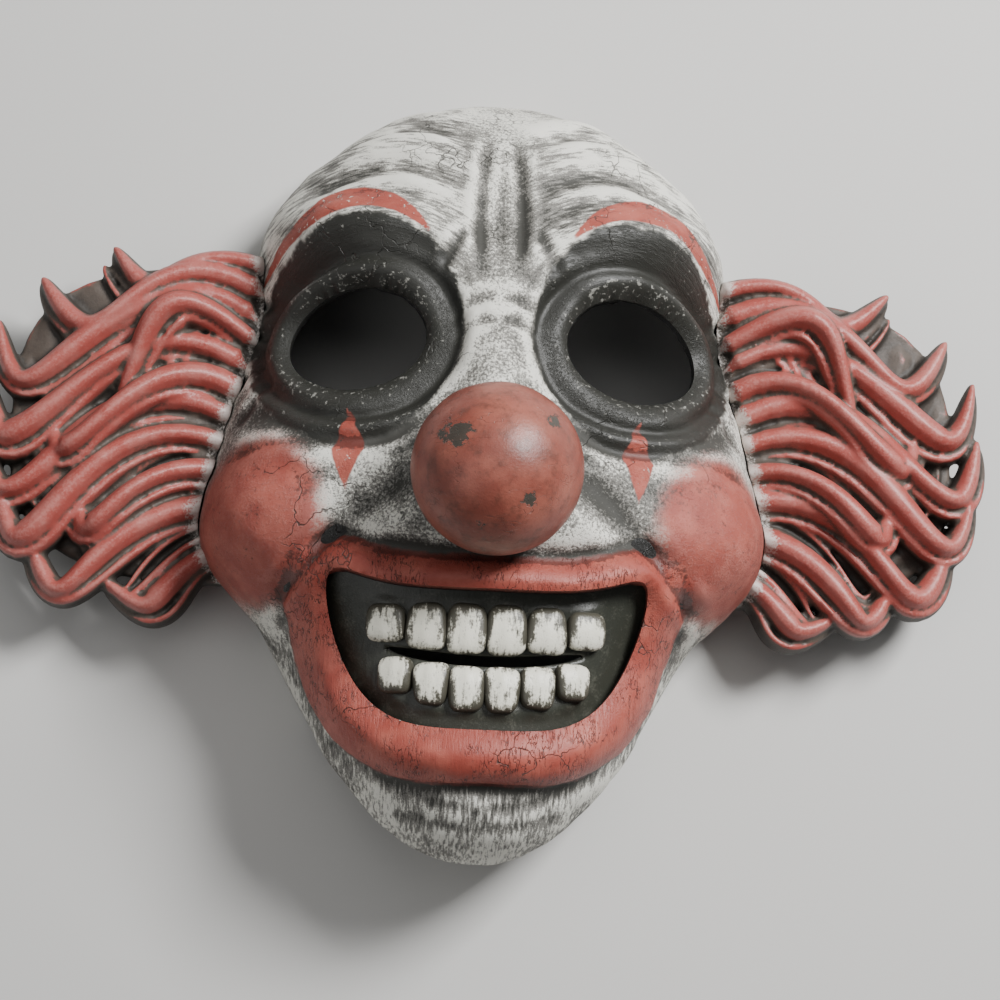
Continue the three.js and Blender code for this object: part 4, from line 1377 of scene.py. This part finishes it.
@dataclass
class HairTuft:
    """A tuft of moulded curls, each a bundle of ridges on a solid core."""

    form: FaceForm
    side: Side
    curls: tuple[Curl, ...]
    reach: float = 70.0
    height: float = 106.0
    above_nose: float = 24.0
    base: float = 12.0
    pad: float = 10.0
    pad_reach: float = 58.0
    pad_height: float = 96.0
    root_depth: float = 8.0
    girth: float = 4.8
    lock_height: float = 15.0
    tip_height: float = 0.8
    lift: float = 8.0
    swing: float = 0.75
    round_tip: float = 11.0
    grain: float = 0.72

    @property
    def level(self) -> float:
        """Middle of the tuft, from the face's mid-height."""
        return self.form.nose_level + self.above_nose

    def line(self, curl: Curl, share: Array) -> tuple[Array, Array]:
        """Middle line of a curl and its headings, at shares of its length."""
        root_y = self.level + curl.root * self.height / 2
        flank = float(self.form.side_at(np.array([root_y]))[0])
        start = np.array([flank - self.root_depth, root_y])
        tip_x = self.form.width / 2 + curl.tip[0] * self.reach
        end = np.array([tip_x, self.level + curl.tip[1] * self.height / 2])
        handle = float(np.hypot(*(end - start))) * self.swing
        leave, arrive = math.radians(curl.leave), math.radians(curl.arrive)
        first = start + handle * np.array([math.cos(leave), math.sin(leave)])
        last = end - handle * np.array([math.cos(arrive), math.sin(arrive)])
        s = share[:, None]
        middle = (
            start * (1 - s) ** 3
            + first * 3 * s * (1 - s) ** 2
            + last * 3 * s**2 * (1 - s)
            + end * s**3
        )
        along = (
            (first - start) * 3 * (1 - s) ** 2
            + (last - first) * 6 * s * (1 - s)
            + (end - last) * 3 * s**2
        )
        along /= np.maximum(np.linalg.norm(along, axis=1), 1e-6)[:, None]
        return middle, along

    def strand(
        self, bm: bmesh.types.BMesh, curl: Curl, offset: float, wide: float, tall: float, drop: float
    ) -> None:
        """Adds one ridge of a curl.

        Args:
            bm: The mesh.
            curl: The curl.
            offset: Its place across the curl, as a share of the curl's half width.
            wide: Its half width, as a share of the curl's.
            tall: Its half height in millimetres.
            drop: How far its top is below the curl's, in millimetres.
        """
        made = bmesh.ops.create_uvsphere(bm, u_segments=14, v_segments=34, radius=1.0)["verts"]
        unit = np.array([vert.co[:] for vert in made])
        share = np.arccos(np.clip(-unit[:, 2], -1.0, 1.0)) / math.pi
        share = np.sin(share * math.pi / 2)
        ring = np.maximum(np.hypot(unit[:, 0], unit[:, 1]), 1e-9)
        middle, along = self.line(curl, share)
        taper = np.sqrt(np.maximum(1 - share**self.round_tip, 0.0)) * ease(share, -0.03, 0.03)
        sway = np.sin(share * 8.0 + offset * 2.0 + curl.root * 5.0) * 0.5 * np.sin(math.pi * share)
        swell = 1.0 + 0.14 * np.sin(share * 6.5 + curl.root * 11.0)
        half = self.girth * curl.girth * swell
        round_across = unit[:, 0] / ring
        round_up = unit[:, 1] / ring
        across = half * taper * (offset + wide * round_across) + sway
        top = self.lock_height * (self.tip_height + (1 - self.tip_height) * taper)
        top = top + self.lift * curl.lift * np.sin(math.pi * share) - drop
        rise = tall * np.maximum(taper, 0.3)
        up = np.maximum(top - rise + rise * round_up, 0.6)
        x = middle[:, 0] - along[:, 1] * across
        y = middle[:, 1] + along[:, 0] * across
        points = np.stack([self.side.value * x, y, self.base + up], axis=1)
        for vert, place in zip(made, self.form.to_frame(points)):
            vert.co = place

    def core(self, bm: bmesh.types.BMesh) -> None:
        """Adds the pad below the curls."""
        made = bmesh.ops.create_uvsphere(bm, u_segments=64, v_segments=24, radius=1.0)["verts"]
        unit = np.array([vert.co[:] for vert in made])
        flat = np.sign(unit[:, 2]) * np.abs(unit[:, 2]) ** 0.4
        full = (np.abs(unit[:, 0]) ** 3 + np.abs(unit[:, 1]) ** 3 + 1e-9) ** (1 / 3)
        wide = np.hypot(unit[:, 0], unit[:, 1]) ** 1.5 / full
        x = self.form.width / 2 - 6.0 + unit[:, 0] * wide * (self.pad_reach + 11.0)
        y = self.level - 2.0 + unit[:, 1] * wide * (self.pad_height / 2 + 1.0)
        lumps = 1.2 * np.sin(x * 0.42 + y * 0.2) * np.sin(y * 0.5 - x * 0.12)
        z = self.base + self.pad / 2 + flat * (self.pad / 2 + 0.8) + lumps * (flat > 0)
        points = np.stack([self.side.value * x, y, z], axis=1)
        for vert, place in zip(made, self.form.to_frame(points)):
            vert.co = place

    def between(self) -> list[Curl]:
        """Thinner curls that lie low in the furrows between the main ones."""
        made = []
        for first, second in zip(self.curls[:-1], self.curls[1:]):
            tip_x = (first.tip[0] + second.tip[0]) / 2 * 0.84
            tip_y = (first.tip[1] + second.tip[1]) / 2
            root = (first.root + second.root) / 2
            leave = (first.leave + second.leave) / 2
            arrive = max((first.arrive + second.arrive) / 2, 40)
            made.append(Curl(root, (tip_x, tip_y), leave, arrive, 0.8, 0.25))
        return made

    def fused(self, bm: bmesh.types.BMesh) -> bmesh.types.BMesh:
        """Fuses the loose ridges to one skin."""
        mesh = bpy.data.meshes.new("tuft_draft")
        bm.to_mesh(mesh)
        bm.free()
        draft = bpy.data.objects.new("tuft_draft", mesh)
        bpy.context.scene.collection.objects.link(draft)
        remesh = draft.modifiers.new("fuse", "REMESH")
        remesh.mode = "VOXEL"
        remesh.voxel_size = self.grain * MM
        remesh.adaptivity = 0.0
        view = bpy.context.evaluated_depsgraph_get()
        whole = bpy.data.meshes.new_from_object(draft.evaluated_get(view))
        bpy.data.objects.remove(draft)
        bpy.data.meshes.remove(mesh)
        joined = bmesh.new()
        joined.from_mesh(whole)
        bpy.data.meshes.remove(whole)
        bmesh.ops.smooth_vert(
            joined, verts=joined.verts, factor=0.5, use_axis_x=True, use_axis_y=True, use_axis_z=True
        )
        return joined

    def seat(self, bm: bmesh.types.BMesh) -> Array:
        """Trims the skin against the side of the face.

        Args:
            bm: The fused skin.

        Returns:
            How far each point is from the side of the face, in millimetres.
        """
        shift = np.array([*self.form.shift, 0.0])
        points = np.array([vert.co[:] for vert in bm.verts]) / MM - shift
        out = points[:, 0] * self.side.value
        flank = self.form.flank(points[:, 1], points[:, 2], self.form.seat_gap)
        far = out - flank
        out = np.where(far < 0, flank, out)
        points[:, 0] = out * self.side.value
        points[:, 2] = np.maximum(points[:, 2], self.base)
        for vert, place in zip(bm.verts, self.form.to_frame(points)):
            vert.co = place
        return np.maximum(far, 0.0)

    def hollows(self, bm: bmesh.types.BMesh) -> Array:
        """How deep each point lies in a furrow, about 0 to 1, counting low and steep places too; the hair
        paint darkens these as painted shade.
        """
        bm.verts.index_update()
        points = np.array([vert.co[:] for vert in bm.verts]) / MM
        normals = np.array([vert.normal[:] for vert in bm.verts])
        ends = np.array([[edge.verts[0].index, edge.verts[1].index] for edge in bm.edges])
        count = np.maximum(np.bincount(ends.ravel(), minlength=len(points)), 1)[:, None]
        smooth = points.copy()
        for _ in range(10):
            total = np.zeros_like(smooth)
            for axis in range(3):
                total[:, axis] += np.bincount(ends[:, 0], smooth[ends[:, 1], axis], len(points))
                total[:, axis] += np.bincount(ends[:, 1], smooth[ends[:, 0], axis], len(points))
            smooth = 0.5 * smooth + 0.5 * total / count
        bowl = np.einsum("ij,ij->i", smooth - points, normals)
        low = ease(-(points[:, 2] - self.base - self.pad), -4.0, -0.5)
        # Steep sides count as hollow too, so they get painted shade.
        steep = 1.0 - np.clip(normals[:, 2], 0.0, 1.0)
        return np.clip(bowl * 1.9 + low * 0.8 + steep * 0.5 - 0.16, -1.2, 1.8)

    def build(self, paint: bpy.types.Material) -> bpy.types.Object:
        """Builds the tuft.

        Args:
            paint: Its material.

        Returns:
            The finished piece.
        """
        bm = bmesh.new()
        self.core(bm)
        for curl in self.between():
            self.strand(bm, curl, -0.3, 0.34, 4.0, 3.0)
            self.strand(bm, curl, 0.6, 0.26, 4.0, 3.8)
        for curl in self.curls:
            self.strand(bm, curl, 0.14, 0.84, 9.0, 0.3)
            self.strand(bm, curl, -0.9, 0.36, 7.0, 4.4)
        joined = self.fused(bm)
        gaps = self.seat(joined)
        joined.normal_update()
        hollow = self.hollows(joined)
        name = "curls_right" if self.side is Side.RIGHT else "curls_left"
        node = "hair_tuft_right" if self.side is Side.RIGHT else "hair_tuft_left"
        piece = finished(joined, name, paint, node)
        carry(piece.data, "hollow", hollow)
        carry(piece.data, "root", ease(-gaps, -9.0, 0.0))
        return piece


# Studio


@dataclass
class Studio:
    """Camera, lights and the pale floor. Metres and degrees."""

    target: Vector
    elevation: float = 81.0
    lean: float = -3.0
    distance: float = 0.6
    roll: float = 2.3
    view_width: float = 0.289

    def camera(self) -> None:
        """Sets up the camera over the mask, leaning to the chin's side."""
        lens = bpy.data.cameras.new("camera")
        lens.sensor_width = 36.0
        lens.lens = 36.0 * self.distance / self.view_width
        lens.clip_start = 0.01
        camera = bpy.data.objects.new("camera", lens)
        bpy.context.scene.collection.objects.link(camera)
        angle = math.radians(self.elevation)
        back = Vector((math.sin(math.radians(self.lean)), -math.cos(angle), math.sin(angle))).normalized()
        across = Vector((0.0, 1.0, 0.0)).cross(back).normalized()
        facing = Matrix((across, back.cross(across), back)).transposed()
        turn = facing @ Matrix.Rotation(math.radians(self.roll), 3, "Z")
        camera.matrix_world = Matrix.Translation(self.target + back * self.distance) @ turn.to_4x4()
        bpy.context.scene.camera = camera

    def lamp(self, name: str, place: Vector, size: float, power: float) -> None:
        """Adds a square soft light that faces the mask."""
        light = bpy.data.lights.new(name, "AREA")
        light.size = size
        light.energy = power
        lamp = bpy.data.objects.new(name, light)
        bpy.context.scene.collection.objects.link(lamp)
        lamp.matrix_world = Matrix.Translation(place) @ (
            (place - self.target).to_track_quat("Z", "Y").to_matrix().to_4x4()
        )

    def floor(self) -> None:
        """Adds the plain pale floor."""
        bm = bmesh.new()
        bmesh.ops.create_grid(bm, x_segments=1, y_segments=1, size=3.0)
        bmesh.ops.translate(bm, verts=bm.verts, vec=(0.0, 0.0, -0.0002))
        mesh = bpy.data.meshes.new("floor")
        bm.to_mesh(mesh)
        bm.free()
        graph = Graph("floor")
        shader = graph.node(
            "ShaderNodeBsdfPrincipled", None, {"Base Color": (0.62, 0.61, 0.59, 1), "Roughness": 0.9}
        )
        graph.node_output(shader)
        mesh.materials.append(graph.material)
        floor = bpy.data.objects.new("floor", mesh)
        bpy.context.scene.collection.objects.link(floor)

    def build(self) -> None:
        """Sets up the whole studio."""
        self.camera()
        self.floor()
        self.lamp("key", self.target + Vector((0.55, 0.48, 0.8)), 0.34, 22.0)
        self.lamp("fill", self.target + Vector((-0.9, -0.3, 0.9)), 1.2, 4.0)
        self.lamp("top", self.target + Vector((0.0, 0.5, 1.3)), 1.0, 3.5)
        world = bpy.data.worlds.new("studio")
        bpy.context.scene.world = world
        world.use_nodes = True
        backdrop = world.node_tree.nodes["Background"]
        backdrop.inputs["Color"].default_value = (0.8, 0.82, 0.85, 1.0)
        backdrop.inputs["Strength"].default_value = 0.09


def face_place() -> tuple[float, float]:
    """Where the face's own middle stands in the frame, in millimetres, from its ball nose."""
    low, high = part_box("nose_ball")
    middle = (low + high) / 2 / MM
    return middle.x, middle.y - FaceForm((0.0, 0.0)).nose_level


def main() -> None:
    """Builds the dressed mask and its studio."""
    logging.basicConfig(level=logging.INFO, format="%(message)s")
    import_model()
    form = FaceForm(shift=face_place())
    MouldedFace(form).build(FacePaint())
    GumAndTeeth(form).build(ToothPaint())
    BallNose(form).build(NosePaint())
    hair = HairPaint().material()
    HairTuft(form, Side.RIGHT, CURLS_RIGHT).build(hair)
    HairTuft(form, Side.LEFT, CURLS_LEFT).build(hair)
    Studio(Vector((0.0033, -0.0127, 0.05))).build()


if __name__ == "__main__":
    main()
